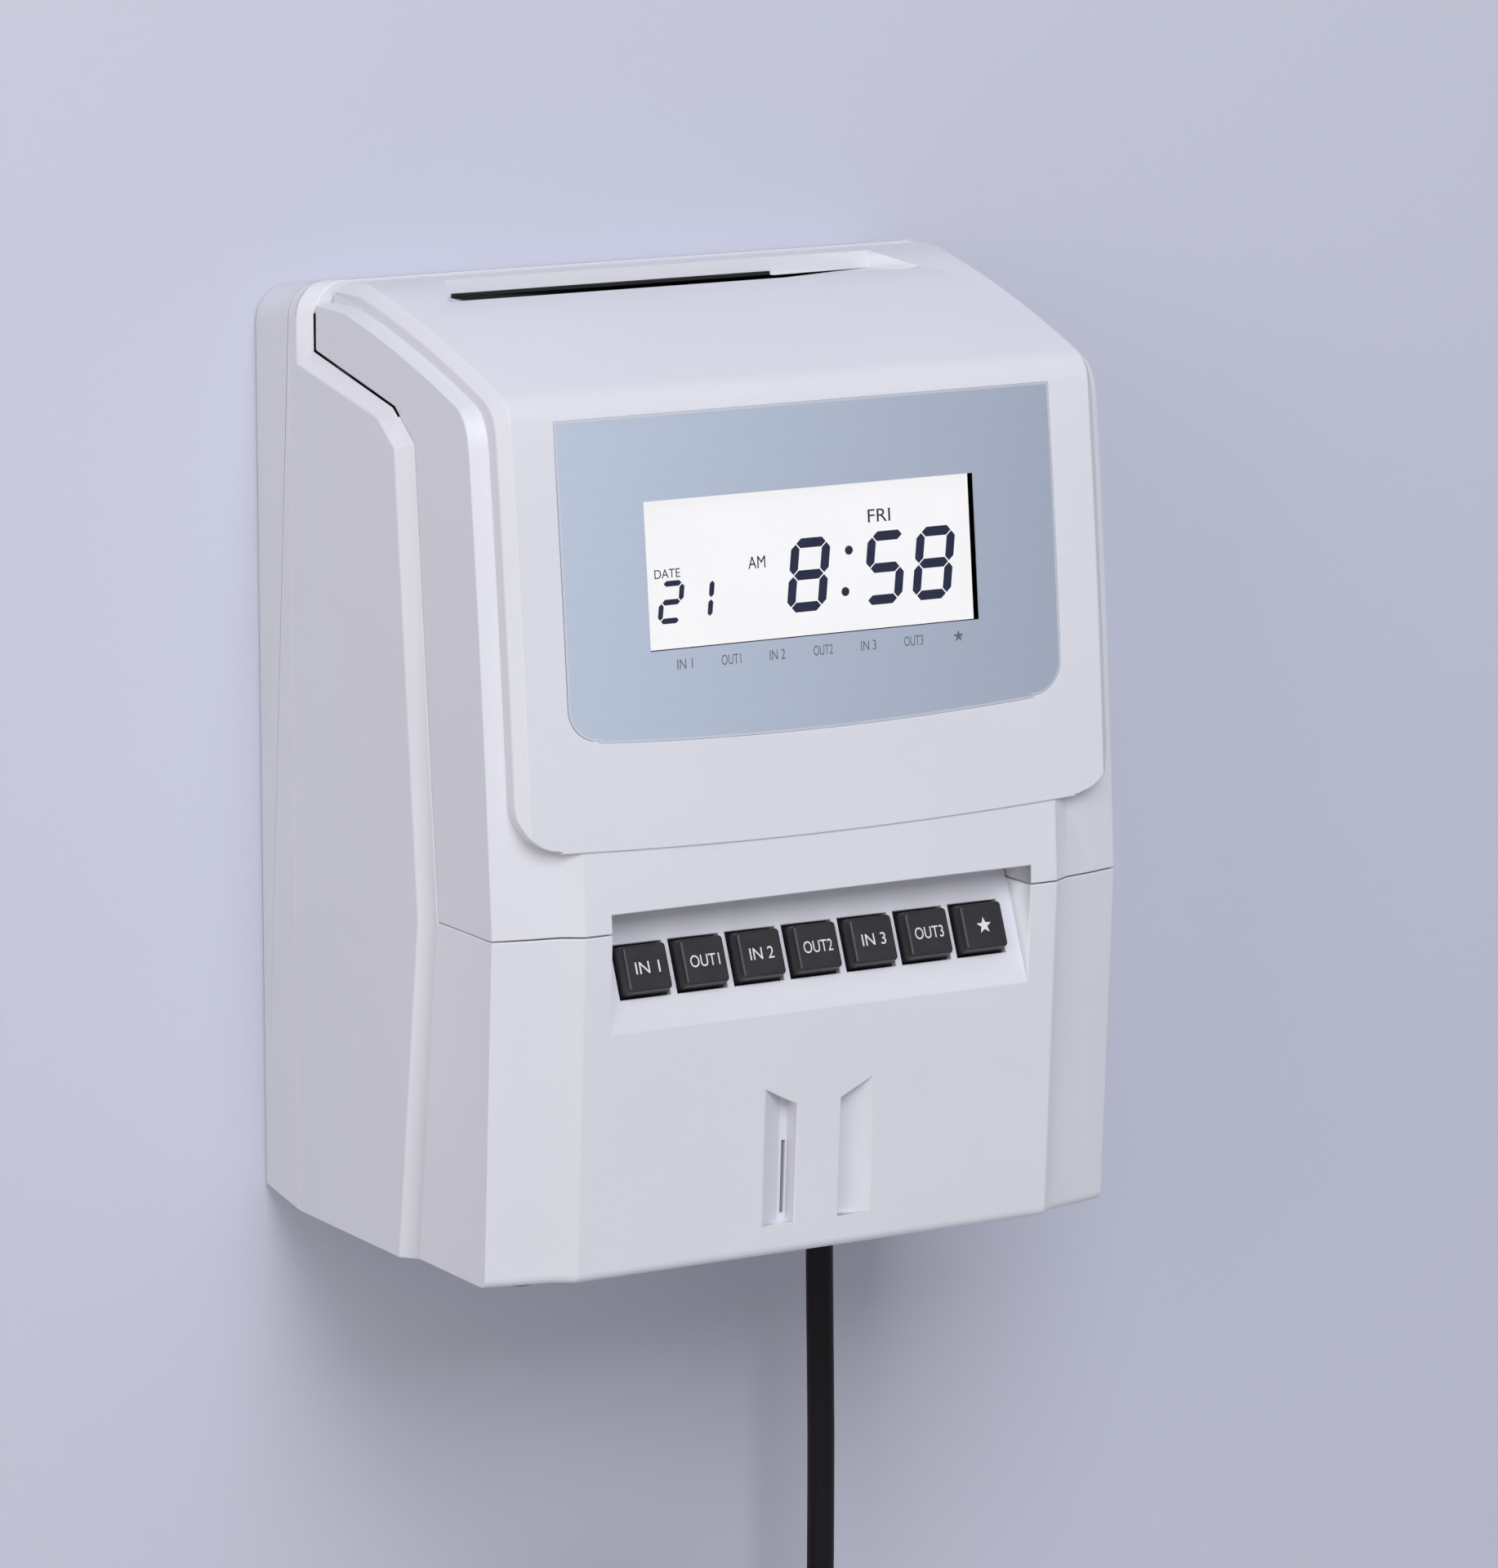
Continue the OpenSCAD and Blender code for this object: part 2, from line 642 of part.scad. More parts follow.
module cover_cavity() {
  hull() {
    wide(inner_half) polygon(upper_side(side_drop + wall, side_back + wall, lip_r - wall, cover_low - 1));
    wide(pilaster_half - wall) polygon(upper_side(
      side_drop - shelf + wall, side_back - pilaster_sweep + wall, lip_r - wall, cover_low - 1));
  }
  intersection() {
    wide(field_half - field_edge - wall) polygon(upper_side(wall, wall, lip_r - wall, cover_low - 1));
    deep(0, far) sagging_view(field_half, field_low + wall, far, field_corner_r, field_sag);
  }
  wide(panel_half - wall) polygon(strip_side(field_step + wall, cover_low - 1));
  bar(-inner_half, inner_half, 0, hinge_d, cover_low - 1, hinge_h);
}

// Lug that turns on a hinge pin, hung from the cover's top
module hinge_lug() across(ear_half + clear, ear_half + clear + ear_t) {
  translate(at(hinge_d, hinge_h)) circle(hinge_boss);
  translate(at(hinge_d + hinge_boss, hinge_h)) square([2 * hinge_boss, lip_r - wall / 2]);
}

view_mid = case_h - view_drop;
view_tilt = atan(field_lean + 2 * field_bow * (view_mid - seam_h));
label_high = case_h - label_drop;
label_low = label_high - label_h;

// Frame on the display field: x to the right, y up, z out of the field
module on_field() translate([0, -field_front(view_mid), view_mid]) rotate([90 - view_tilt, 0, 0]) children();

module view_block(grow, z0, z1) on_field() translate([-view_w / 2 - grow, -view_h / 2 - grow, z0])
  cube([view_w + 2 * grow, view_h + 2 * grow, z1 - z0]);

// Heights at which the label's curve is drawn
function label_row(i) = label_low - label_r + (label_h + 2 * label_r) * i / 8;

// Skin of the display field inside the label's outline
module label_skin(t0, t1, grow) intersection() {
  deep(cheek_d_seam, far)
    sagging_view(label_half + grow, label_low - grow, label_high + grow, label_r, label_sag);
  wide(far) polygon([
    for (i = [0:8]) at(field_front(label_row(i)) - t0, label_row(i)),
    for (i = [8:-1:0]) at(field_front(label_row(i)) - t1, label_row(i))]);
}

// Hinged upper cover with display field, card trough and slot
module upper_cover() color("whitesmoke") at_wall() difference() {
  union() {
    difference() {
      cover_body();
      cover_cavity();
    }
    trough_bed();
    both_sides() hinge_lug();
    bar(-pocket_half - wall, pocket_half + wall,
      floor_d(pocket_high) + 2 * clear, field_front(cover_low) - wall, cover_low, pocket_high + wall);
  }
  both_sides() pin(pin_r + run_gap, ear_half, ear_half + ear_t + 2 * clear, hinge_d, hinge_h);
  wide(far) polygon(cheek_side(-seam_gap));
  trough_cut();
  slot_bar(liner_t + fixed_gap, slot_h - 2 * wall, far);
  label_skin(-1, label_t + 2 * fixed_gap, 2 * fixed_gap);
  view_block(0, -4 * wall, wall);
  bar(-pocket_half, pocket_half, cheek_d_seam, far, cover_low - 1, pocket_high);
}

// Black mouthpiece let into the trough's floor round the card slot
module slot_liner() color("dimgray") at_wall() difference() {
  slot_bar(liner_t, slot_h - wall, slot_h);
  slot_bar(0, slot_h - 2 * wall, far);
}

module hinge_pins() color("silver") at_wall() both_sides()
  pin(pin_r, ear_half - ear_t, ear_half + clear + ear_t, hinge_d, hinge_h);

// Screws that hold the housing to the rear case, heads sunk in the back
module case_screws() color("silver") at_wall() for (s = [-1, 1], h = screw_rows) {
  post(screw_r_body, s * screw_x, h, back_t, rear_d + boss_len - wall - 1);
  post(screw_post_r - wall / 2 - clear, s * screw_x, h, 1, back_t);
}

foot_places = [[half_w - 18, rear_d + 14], [side_half - 14, front_d_low - 17]];

module rubber_feet() color("black") at_wall() for (p = foot_places) both_sides()
  translate([p[0], -p[1], -foot_h]) cylinder(r1 = foot_r - foot_h / 4, r2 = foot_r, h = foot_h);

module label_panel() color("lightsteelblue") at_wall() difference() {
  label_skin(0, label_t, 0);
  view_block(0, -4 * wall, wall);
}

// The lens lies flat behind the bowed field, clear of it at its upper and lower edges
lens_z = wall + field_bow * pow(view_h / 2 + view_lap, 2) + 2 * fixed_gap;

module display_lens() color("lightcyan") at_wall() view_block(view_lap, -lens_z - lens_t, -lens_z);

// Key board behind the pocket's floor
flange_t = 1.2;
board_z = wall + 2 * flange_t + key_travel + 3;
board_post_x = pocket_half - 1.8;
board_post_y = 6;
board_post_r = 1.6;
board_edge = 4;

slot_x0 = slot_x - slot_w / 2;
slot_x1 = slot_x + slot_w / 2;
card_d = slot_d + card_gap / 2;
card_half = 0.4;
guide_d = slot_d + card_gap;
guide_top = slot_h - wall - 1.2;
feed_d = card_d + card_half + feed_r;
pinch_d = card_d - card_half - pinch_r;
gear_span = (gear_teeth + pinion_teeth) * gear_module / 2;
pinion_d = feed_d + gear_span;
rod_h = feed_h + rod_rise;
screw_h = rod_h + screw_rise;
print_h = rod_h + screw_rise / 2;
chassis_low = post_rows[0] - 8;
chassis_top = case_h - 36;
// Inner faces of the chassis cheeks, and their outline
cheek_x0 = slot_x0 - cheek_room;
cheek_x1 = slot_x1 + cheek_room;
cheek_front = rod_d + 11 + cassette_t;
cheek_low = feed_h - 14;
cheek_high = screw_h + 12;
cheek_cut = 12;
// The chassis plate reaches past its cheeks by its edge
chassis_edge = 7.2;
chassis_half = max(-cheek_x0, cheek_x1) + sheet_t + chassis_edge;
bush_r = shaft_r + 1.5;
flange_w = 1.5;
gear_x = cheek_x1 + sheet_t + flange_w + 2 * clear;
motor_shaft_r = 1.5;
// Length of a shaft inside its motor
shaft_grip = 8;
step_motor_r = 8;
step_motor_len = 10;
bearer_x = roller_spacing / 2 + roller_len / 2 + 3;
roller_xs = [slot_x - roller_spacing / 2, slot_x + roller_spacing / 2];
carriage_x = cheek_x0 + carriage_room;
carriage_d0 = rod_d - rod_r - 6;
carriage_d1 = rod_d + rod_r + 5;
carriage_wall = 3;
window_half = 5.5;
window_in = 2;
roller_room = 1;
board_t = 1.6;

// Sheet-metal chassis: back plate on the posts and two cheeks for shafts, rod and lead screw
module chassis() color("lightgray") at_wall() difference() {
  union() {
    bar(-chassis_half, chassis_half, chassis_d - sheet_t, chassis_d, chassis_low, chassis_top);
    for (x = [cheek_x0 - sheet_t, cheek_x1]) across(x, x + sheet_t) polygon([
      at(chassis_d, cheek_low),
      at(cheek_front - cheek_cut, cheek_low),
      at(cheek_front, cheek_low + cheek_cut),
      at(cheek_front, cheek_high - cheek_cut),
      at(cheek_front - cheek_cut, cheek_high),
      at(chassis_d, cheek_high)]);
  }
  pin(bush_r + fixed_gap, cheek_x0 - sheet_t - 1, cheek_x1 + sheet_t + 1, feed_d, feed_h);
  pin(rod_r + fixed_gap, cheek_x0 - sheet_t - 1, cheek_x1 + sheet_t + 1, rod_d, rod_h);
  pin(screw_r + run_gap, cheek_x0 - sheet_t - 1, cheek_x1 + sheet_t + 1, rod_d, screw_h);
  pin(motor_shaft_r + 1, cheek_x1 - 1, cheek_x1 + sheet_t + 1, pinion_d, feed_h);
}

// Rear card guide with the card's side walls and stop, and the bearers of the pinch shaft
module card_guide_rear() color("dimgray") at_wall() difference() {
  union() {
    bar(slot_x0 - guide_t, slot_x1 + guide_t, slot_d - guide_t, slot_d, card_low - guide_t, guide_top);
    bar(slot_x0 - guide_t, slot_x0, slot_d, guide_d, card_low - guide_t, guide_top);
    bar(slot_x1, slot_x1 + guide_t, slot_d, guide_d, card_low - guide_t, guide_top);
    bar(slot_x0, slot_x1, slot_d, guide_d, card_low - guide_t, card_low);
    for (s = [-1, 1]) bar(slot_x + s * bearer_x - guide_t / 2, slot_x + s * bearer_x + guide_t / 2,
      chassis_d, slot_d - guide_t, card_low, chassis_top);
  }
  for (x = roller_xs) bar(x - roller_len / 2 - roller_room, x + roller_len / 2 + roller_room,
    chassis_d, guide_d, feed_h - pinch_r - roller_room, feed_h + pinch_r + roller_room);
  bar(slot_x0 + window_in, slot_x1 - window_in, chassis_d - 1, guide_d,
    print_h - window_half, print_h + window_half);
  pin(pinch_shaft_r + run_gap, slot_x0, slot_x1, pinch_d, feed_h);
}

module card_guide_front() color("dimgray") at_wall() difference() {
  bar(slot_x0 - guide_t, slot_x1 + guide_t, guide_d, guide_d + guide_t, card_low - guide_t, guide_top);
  for (x = roller_xs) bar(x - roller_len / 2 - roller_room, x + roller_len / 2 + roller_room,
    guide_d - 1, guide_d + guide_t + 1, feed_h - feed_r - roller_room, feed_h + feed_r + roller_room);
  bar(slot_x0 + window_in, slot_x1 - window_in, guide_d - 1, guide_d + guide_t + 1,
    print_h - window_half, print_h + window_half);
}

// Bar behind the card that the print head strikes against
module platen() color("black") at_wall() bar(slot_x0 + window_in + clear, slot_x1 - window_in - clear,
  chassis_d, slot_d, print_h - window_half + clear, print_h + window_half - clear);

module feed_shaft() color("silver") at_wall()
  pin(shaft_r, cheek_x0 - sheet_t - flange_w - 3, gear_x + gear_w + 1, feed_d, feed_h);

module feed_tyres() color("black") at_wall() for (x = roller_xs) difference() {
  pin(feed_r, x - roller_len / 2, x + roller_len / 2, feed_d, feed_h);
  pin(shaft_r + fixed_gap, x - roller_len, x + roller_len, feed_d, feed_h);
}

// Flanged plastic bushes in the chassis cheeks
module feed_bushes() color("ivory") at_wall() for (end = [[cheek_x0, 1], [cheek_x1, 0]])
  translate([end[0], 0, 0]) mirror([end[1], 0, 0]) difference() {
    union() {
      pin(bush_r, 0, sheet_t, feed_d, feed_h);
      pin(bush_r + flange_w, sheet_t, sheet_t + flange_w, feed_d, feed_h);
    }
    pin(shaft_r + run_gap, -1, sheet_t + flange_w + 1, feed_d, feed_h);
  }

module pinch_roller() color("darkgray") at_wall() {
  pin(pinch_shaft_r, slot_x - bearer_x - guide_t - 1, slot_x + bearer_x + guide_t + 1, pinch_d, feed_h);
  for (x = roller_xs) pin(pinch_r, x - roller_len / 2, x + roller_len / 2, pinch_d, feed_h);
}

// Involute tooth flank: polar angle at a radius beyond the base circle
function flank_angle(base, r) = r <= base ? 0 : sqrt(pow(r / base, 2) - 1) * 180 / PI - acos(base / r);
function tooth_half(teeth, r, play) =
  let (pitch_r = teeth * gear_module / 2, base = pitch_r * cos(20))
  90 / teeth - play / (2 * pitch_r) * 180 / PI + flank_angle(base, pitch_r) - flank_angle(base, r);
function gear_outline(teeth, play) =
  let (
    pitch_r = teeth * gear_module / 2,
    root = pitch_r - 1.25 * gear_module,
    tip = pitch_r + 0.8 * gear_module)
  [for (i = [0:teeth - 1], s = [-1, 1], j = [0:4])
    let (r = s < 0 ? root + (tip - root) * j / 4 : tip - (tip - root) * j / 4,
      a = 360 * i / teeth + s * tooth_half(teeth, r, play))
    r * [cos(a), sin(a)]];
tooth_play = 0.2;

// Gear across the width, turned by a phase
module gear(teeth, d, phase) translate([gear_x, -d, feed_h]) rotate([0, 90, 0]) rotate([0, 0, phase])
  linear_extrude(gear_w) polygon(gear_outline(teeth, tooth_play));

module feed_gear() color("ivory") at_wall() difference() {
  gear(gear_teeth, feed_d, 180 / gear_teeth - 90);
  pin(shaft_r + fixed_gap, gear_x - 1, gear_x + gear_w + 1, feed_d, feed_h);
}

// Pinion cut on the motor's shaft
module motor_pinion() color("silver") at_wall() {
  gear(pinion_teeth, pinion_d, 90);
  pin(motor_shaft_r, cheek_x1 - shaft_grip, gear_x + gear_w, pinion_d, feed_h);
}

module feed_motor() color("gray") at_wall() difference() {
  pin(motor_r, cheek_x1 - motor_len, cheek_x1, pinion_d, feed_h);
  pin(motor_shaft_r + run_gap, cheek_x1 - shaft_grip - clear, cheek_x1 + 1, pinion_d, feed_h);
}

module guide_rod() color("silver") at_wall() pin(rod_r, cheek_x0 - sheet_t, cheek_x1 + sheet_t, rod_d, rod_h);

module lead_screw() color("silver") at_wall()
  pin(screw_r, cheek_x0 - sheet_t - shaft_grip, cheek_x1 + sheet_t + 2, rod_d, screw_h);

module carriage_motor() color("gray") at_wall() difference() {
  pin(step_motor_r, cheek_x0 - sheet_t - step_motor_len, cheek_x0 - sheet_t, rod_d, screw_h);
  pin(screw_r + run_gap, cheek_x0 - sheet_t - shaft_grip - clear, cheek_x0, rod_d, screw_h);
}

module print_carriage() color("dimgray") at_wall() difference() {
  across(carriage_x, carriage_x + carriage_w) polygon([
    at(carriage_d0, rod_h - rod_r - carriage_wall),
    at(carriage_d1, rod_h - rod_r - carriage_wall),
    at(carriage_d1, screw_h),
    at(carriage_d1 - carriage_wall, screw_h + screw_r + carriage_wall),
    at(carriage_d0, screw_h + screw_r + carriage_wall)]);
  pin(rod_r + run_gap, carriage_x - 1, carriage_x + carriage_w + 1, rod_d, rod_h);
  pin(screw_r + run_gap, carriage_x - 1, carriage_x + carriage_w + 1, rod_d, screw_h);
}

nose_d = guide_d + guide_t + 0.8;
nose_half = 4;
head_len = 7;
head_half = 7;
head_rise = 8;
fin_half = 8.5;
fin_t = 1.4;
fin_pitch = 3.2;

// Dot print head: finned body and a nose that reaches for the card
module print_head() color("black") at_wall() translate([carriage_x + carriage_w / 2, 0, print_h]) {
  bar(-nose_half, nose_half, nose_d, carriage_d0 - head_len + 1, -nose_half, nose_half);
  bar(-head_half, head_half, carriage_d0 - head_len, carriage_d0, -head_rise, head_rise);
  for (i = [-2:2]) bar(-fin_half, fin_half, carriage_d0 - head_len + 1, carriage_d0 - 1,
    i * fin_pitch - fin_t / 2, i * fin_pitch + fin_t / 2);
}

// The cassette hangs low enough to stay under the display tray
cassette_d = carriage_d1 + 2;
cassette_mid = rod_h - 5;
cassette_front = cassette_d + cassette_t;
cassette_cut_x = 12;
cassette_cut_h = 8;
knob_x = cheek_x0 + 20;
knob_h = cassette_mid + 2;
knob_len = 6;
knob_flutes = 12;
spindle_r = 2;
spindle_seat = 3;

module ribbon_cassette() color("black") at_wall() difference() {
  deep(cassette_d, cassette_front) polygon([
    [cheek_x0 + clear, cassette_mid - cassette_h / 2],
    [cheek_x1 - clear, cassette_mid - cassette_h / 2],
    [cheek_x1 - clear, cassette_mid + cassette_h / 2 - cassette_cut_h],
    [cheek_x1 - clear - cassette_cut_x, cassette_mid + cassette_h / 2],
    [cheek_x0 + clear + cassette_cut_x, cassette_mid + cassette_h / 2],
    [cheek_x0 + clear, cassette_mid + cassette_h / 2 - cassette_cut_h]]);
  post(spindle_r + run_gap, knob_x, knob_h, cassette_d + spindle_seat, cassette_front + 1);
}

module ribbon_knob() color("dodgerblue") at_wall() {
  post(spindle_r, knob_x, knob_h, cassette_d + spindle_seat + clear, cassette_front + 1);
  difference() {
    post(knob_r, knob_x, knob_h, cassette_front + clear, cassette_front + knob_len);
    for (i = [1:knob_flutes]) translate([knob_x, 0, knob_h]) rotate([0, 360 * i / knob_flutes, 0])
      post(knob_r / 7, knob_r, 0, cassette_front, cassette_front + knob_len + 1);
  }
}

lcd_z = lens_z + lens_t + 0.6;
tray_wall = 2;
tray_z = lcd_z + lcd_t + light_t + tray_wall;
arm_t = 3;
arm_x = chassis_half - 5;
arm_h1 = chassis_top - 4;
arm_h0 = arm_h1 - 2 * arm_t;
beam_t = 5;
tray_back_d = field_front(view_mid) - tray_z / cos(view_tilt) - tan(view_tilt) * (arm_h0 - view_mid);

module lcd_panel() color("white") at_wall() view_block(view_lap, -lcd_z - lcd_t, -lcd_z);

module lcd_backlight() color("white") at_wall()
  view_block(view_lap, -lcd_z - lcd_t - light_t, -lcd_z - lcd_t);

// Tray for display and backlight on two arms that reach forward from the chassis
module display_frame() color("dimgray") at_wall() {
  difference() {
    view_block(view_lap + tray_wall, -tray_z, -lcd_z - lcd_t / 2);
    view_block(view_lap, -tray_z + tray_wall, 0);
  }
  bar(-arm_x - arm_t, arm_x + arm_t, tray_back_d - beam_t, tray_back_d + 1, arm_h0, arm_h1);
  both_sides() bar(arm_x, arm_x + arm_t, chassis_d, tray_back_d, arm_h0, arm_h1);
}

key_top = -wall - clear;
key_lap = 0.9;
key_bevel = 0.8;
stem_r = 2;
switch_half = 3;
button_r = 1.7;
button_h = 0.8;
switch_h = board_z - wall / 2 - 2 * flange_t - key_travel - 2 * clear;

// One function key: a cap that slides through the pocket's floor, with a flange below it and a stem
module key(i) color([0.16, 0.15, 0.16]) at_wall() on_floor() translate([key_x(i), 0, 0]) {
  translate([-key_w / 2, 0, 0]) rotate([90, 0, 90]) linear_extrude(key_w) polygon([
    [-key_h / 2, key_top],
    [key_h / 2, key_top],
    [key_h / 2, key_proud - key_bevel],
    [key_h / 2 - key_bevel, key_proud],
    [key_bevel - key_h / 2, key_proud],
    [-key_h / 2, key_proud - key_bevel]]);
  translate([-key_w / 2 - key_lap, -key_h / 2 - key_lap, key_top - flange_t])
    cube([key_w + 2 * key_lap, key_h + 2 * key_lap, flange_t]);
  translate([0, 0, key_top - 2 * flange_t]) cylinder(r = stem_r, h = flange_t);
}

module key_1() key(0);

module key_2() key(1);

module key_3() key(2);

module key_4() key(3);

module key_5() key(4);

module key_6() key(5);

module key_7() key(6);

module key_board() color("darkgreen") at_wall() on_floor()
  translate([-board_post_x - board_edge, -board_post_y - board_edge, -board_z - wall / 2 - board_t])
  cube([2 * (board_post_x + board_edge), 2 * (board_post_y + board_edge), board_t]);

module key_switches() color("silver") at_wall() on_floor() for (i = [0:key_count - 1])
  translate([key_x(i), 0, -board_z - wall / 2]) {
    translate([-switch_half, -switch_half, 0])
      cube([2 * switch_half, 2 * switch_half, switch_h - button_h]);
    cylinder(r = button_r, h = switch_h);
  }

pcb_d = back_t + 5;
pcb_half = post_x - screw_post_r - 4;
pcb_in = 5;
pcb_post_r = 3;
pcb_rows = [66, 150];
chip_x = -22;
chip_low = 96;
chip_w = 28;
chip_t = 3;
driver_x = 20;
driver_w = 14;
driver_h = 18;
can_x = -44;
can_h = 80;
can_pitch = 12;
can_r = 5;
can_len = 12;

module main_board() color("darkgreen") at_wall() {
  bar(-pcb_half, pcb_half, pcb_d, pcb_d + board_t, pcb_rows[0] - pcb_in, pcb_rows[1] + pcb_in);
  bar(chip_x, chip_x + chip_w, pcb_d + board_t, pcb_d + board_t + chip_t, chip_low, chip_low + chip_w);
  bar(driver_x, driver_x + driver_w, pcb_d + board_t, pcb_d + board_t + chip_t,
    chip_low, chip_low + driver_h);
  for (i = [0, 1]) post(can_r, can_x + i * can_pitch, can_h, pcb_d + board_t, pcb_d + board_t + can_len);
}

// Exit of the cord in the housing's floor and its strain relief
cord_x = 52;
cord_d = 30;
relief_len = 20;
gland_r = 6;
relief_lip = 0.9;
collar_h = 2;
collar_w = 1.5;

transformer_x = half_w - transformer_w - 10;
transformer_d = cord_d + gland_r + 6;
core_t = 16;
winding_out = 8;
winding_in = 7;

// Laminated core with the winding through its window
module transformer() color("darkgray") at_wall() {
  bar(transformer_x, transformer_x + transformer_w,
    transformer_d + winding_out, transformer_d + winding_out + core_t, wall, wall + transformer_h);
  bar(transformer_x + winding_in, transformer_x + transformer_w - winding_in,
    transformer_d, transformer_d + core_t + 2 * winding_out,
    wall + winding_in, wall + transformer_h - winding_in);
}

// Strain relief of the mains cord: flange inside, collar outside and a tapered sleeve
module cord_gland() color("black") at_wall() translate([cord_x, -cord_d, 0]) rotate_extrude() polygon([
  [0, -relief_len],
  [cord_dia / 2 + relief_lip, -relief_len],
  [gland_r - relief_lip / 2, -collar_h],
  [gland_r + collar_w, -collar_h],
  [gland_r + collar_w, 0],
  [gland_r, 0],
  [gland_r, wall],
  [gland_r + collar_w, wall],
  [gland_r + collar_w, wall + collar_h],
  [0, wall + collar_h]]);

cord_r = cord_dia / 2;
coil_pitch = cord_dia + coil_gap;
coil_loops = 6;
coil_sides = 6;
loop_steps = 24;
coil_in = coil_r - coil_pitch * coil_loops / 4;
coil_out = coil_r + coil_pitch * coil_loops / 4;

// Route of the free cord from the strain relief down to the coil: offset, depth and height
cord_route = [
  [52, 30, -20], [52, 30, -28], [52.1, 30.1, -42], [52.2, 30.3, -58], [52.3, 30.4, -74], [52.3, 30.4, -90],
  [52.3, 30.3, -106], [52.2, 30.2, -122], [52.1, 30.1, -138], [52, 30, -154], [52, 30, -168]
];
cord_sides = 10;
coil_h = cord_route[len(cord_route) - 1][2] - cord_dia;
coil_x = cord_x - coil_out;
tail_len = coil_out + cord_dia + 2;

// Centre line of the coil after a number of turns: in to the middle loop, then out again one layer behind
function ease(t) = let (c = max(0, min(1, t))) c * c * (3 - 2 * c);
function loop_r(turn) = coil_in + coil_pitch * abs(turn - coil_loops / 2);
function loop_d(turn) = cord_d - coil_pitch * ease((turn - coil_loops / 2) * 2 + 0.5);
function loop_at(turn) = [
  coil_x + loop_r(turn) * cos(-360 * turn), -loop_d(turn), coil_h + loop_r(turn) * sin(-360 * turn)];

// Each step of a tube holds its centre and the direction its first corner faces
right = [1, 0, 0];
coil_steps = concat(
  [[[cord_x, -cord_d, coil_h + cord_dia], right]],
  [for (i = [0:coil_loops * loop_steps]) let (turn = i / loop_steps)
    [loop_at(turn), [cos(-360 * turn), 0, sin(-360 * turn)]]],
  [for (i = [1:4]) [loop_at(coil_loops) - [0, 0, tail_len * i / 4], right]]);
cord_steps = [for (p = cord_route) [[p[0], -p[1], p[2]], right]];

function tube_points(steps, sides) = [for (s = steps, k = [0:sides - 1])
  s[0] + cord_r * (cos(360 * k / sides) * s[1] + sin(360 * k / sides) * [0, 1, 0])];
function tube_faces(count, sides) = concat(
  [[for (k = [sides - 1:-1:0]) k]],
  [for (i = [0:count - 2], k = [0:sides - 1]) let (n = (k + 1) % sides)
    [i * sides + k, i * sides + n, (i + 1) * sides + n]],
  [for (i = [0:count - 2], k = [0:sides - 1]) let (n = (k + 1) % sides)
    [i * sides + k, (i + 1) * sides + n, (i + 1) * sides + k]],
  [[for (k = [0:sides - 1]) (count - 1) * sides + k]]);

module tube(steps, sides)
  polyhedron(tube_points(steps, sides), tube_faces(len(steps), sides), convexity = 10);

// Least gap between stretches of the coil that lie half a loop or more apart
echo(coil_least_gap = min([for (i = [0:len(coil_steps) - 1], j = [i + loop_steps / 2:1:len(coil_steps) - 1])
  norm(coil_steps[i][0] - coil_steps[j][0])]) - cord_dia);

module cord() color("black") at_wall() tube(cord_steps, cord_sides);

module cord_coil() color("black") at_wall() tube(coil_steps, coil_sides);

tie_w = 10;
tie_t = 1.4;
tie_gap = 0.5;
tie_d0 = cord_d - coil_pitch - cord_r - tie_gap;
tie_d1 = cord_d + cord_r + tie_gap;
tie_h0 = coil_h + coil_in + coil_pitch / 4 - cord_r - 2 * tie_gap;
tie_h1 = coil_h + coil_out - coil_pitch / 4 + cord_r + tie_gap;

// Band that holds the coil's loops together at its top
module cord_tie() color("black") at_wall() difference() {
  bar(coil_x - tie_w / 2, coil_x + tie_w / 2, tie_d0 - tie_t, tie_d1 + tie_t, tie_h0 - tie_t, tie_h1 + tie_t);
  bar(coil_x - tie_w, coil_x + tie_w, tie_d0, tie_d1, tie_h0, tie_h1);
}

plug_d = cord_d - coil_pitch;
plug_h = coil_h - tail_len;
plug_sleeve = 22;
plug_half = 11;
plug_t = 15;
plug_neck = cord_r + 2.5;
blade_len = 17;
blade_w = 6.3;
blade_t = 1.5;
blade_x = 6.35;

module plug() color("black") at_wall() translate([cord_x, 0, plug_h]) {
  translate([0, -plug_d, -plug_sleeve - 1])
    cylinder(r1 = plug_neck, r2 = cord_r + relief_lip, h = plug_sleeve + 1);
  deep(plug_d - plug_t / 2, plug_d + plug_t / 2) polygon([
    [-plug_neck, -plug_sleeve],
    [-plug_half, -plug_sleeve - plug_len / 4],
    [-plug_half, -plug_sleeve - plug_len],
    [plug_half, -plug_sleeve - plug_len],
    [plug_half, -plug_sleeve - plug_len / 4],
    [plug_neck, -plug_sleeve]]);
}

module plug_blades() color("gold") at_wall() both_blades() bar(blade_x - blade_t / 2, blade_x + blade_t / 2,
  plug_d - blade_w / 2, plug_d + blade_w / 2, -blade_len, 0);

module both_blades() translate([cord_x, 0, plug_h - plug_sleeve - plug_len]) both_sides() children();

rear_case();
main_housing();
upper_cover();
slot_liner();
hinge_pins();
case_screws();
rubber_feet();
label_panel();
display_lens();
lcd_panel();
lcd_backlight();
display_frame();
key_1();
key_2();
key_3();
key_4();
key_5();
key_6();
key_7();
key_board();
key_switches();
chassis();
card_guide_rear();
card_guide_front();
platen();
feed_shaft();
feed_tyres();
feed_bushes();
feed_gear();
motor_pinion();
feed_motor();
pinch_roller();
guide_rod();
lead_screw();
carriage_motor();
print_carriage();
print_head();
ribbon_cassette();
ribbon_knob();
main_board();
transformer();
cord_gland();
cord();
cord_coil();
cord_tie();
plug();
plug_blades();
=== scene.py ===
import math

import bmesh
import bpy
from mathutils import Matrix, Vector


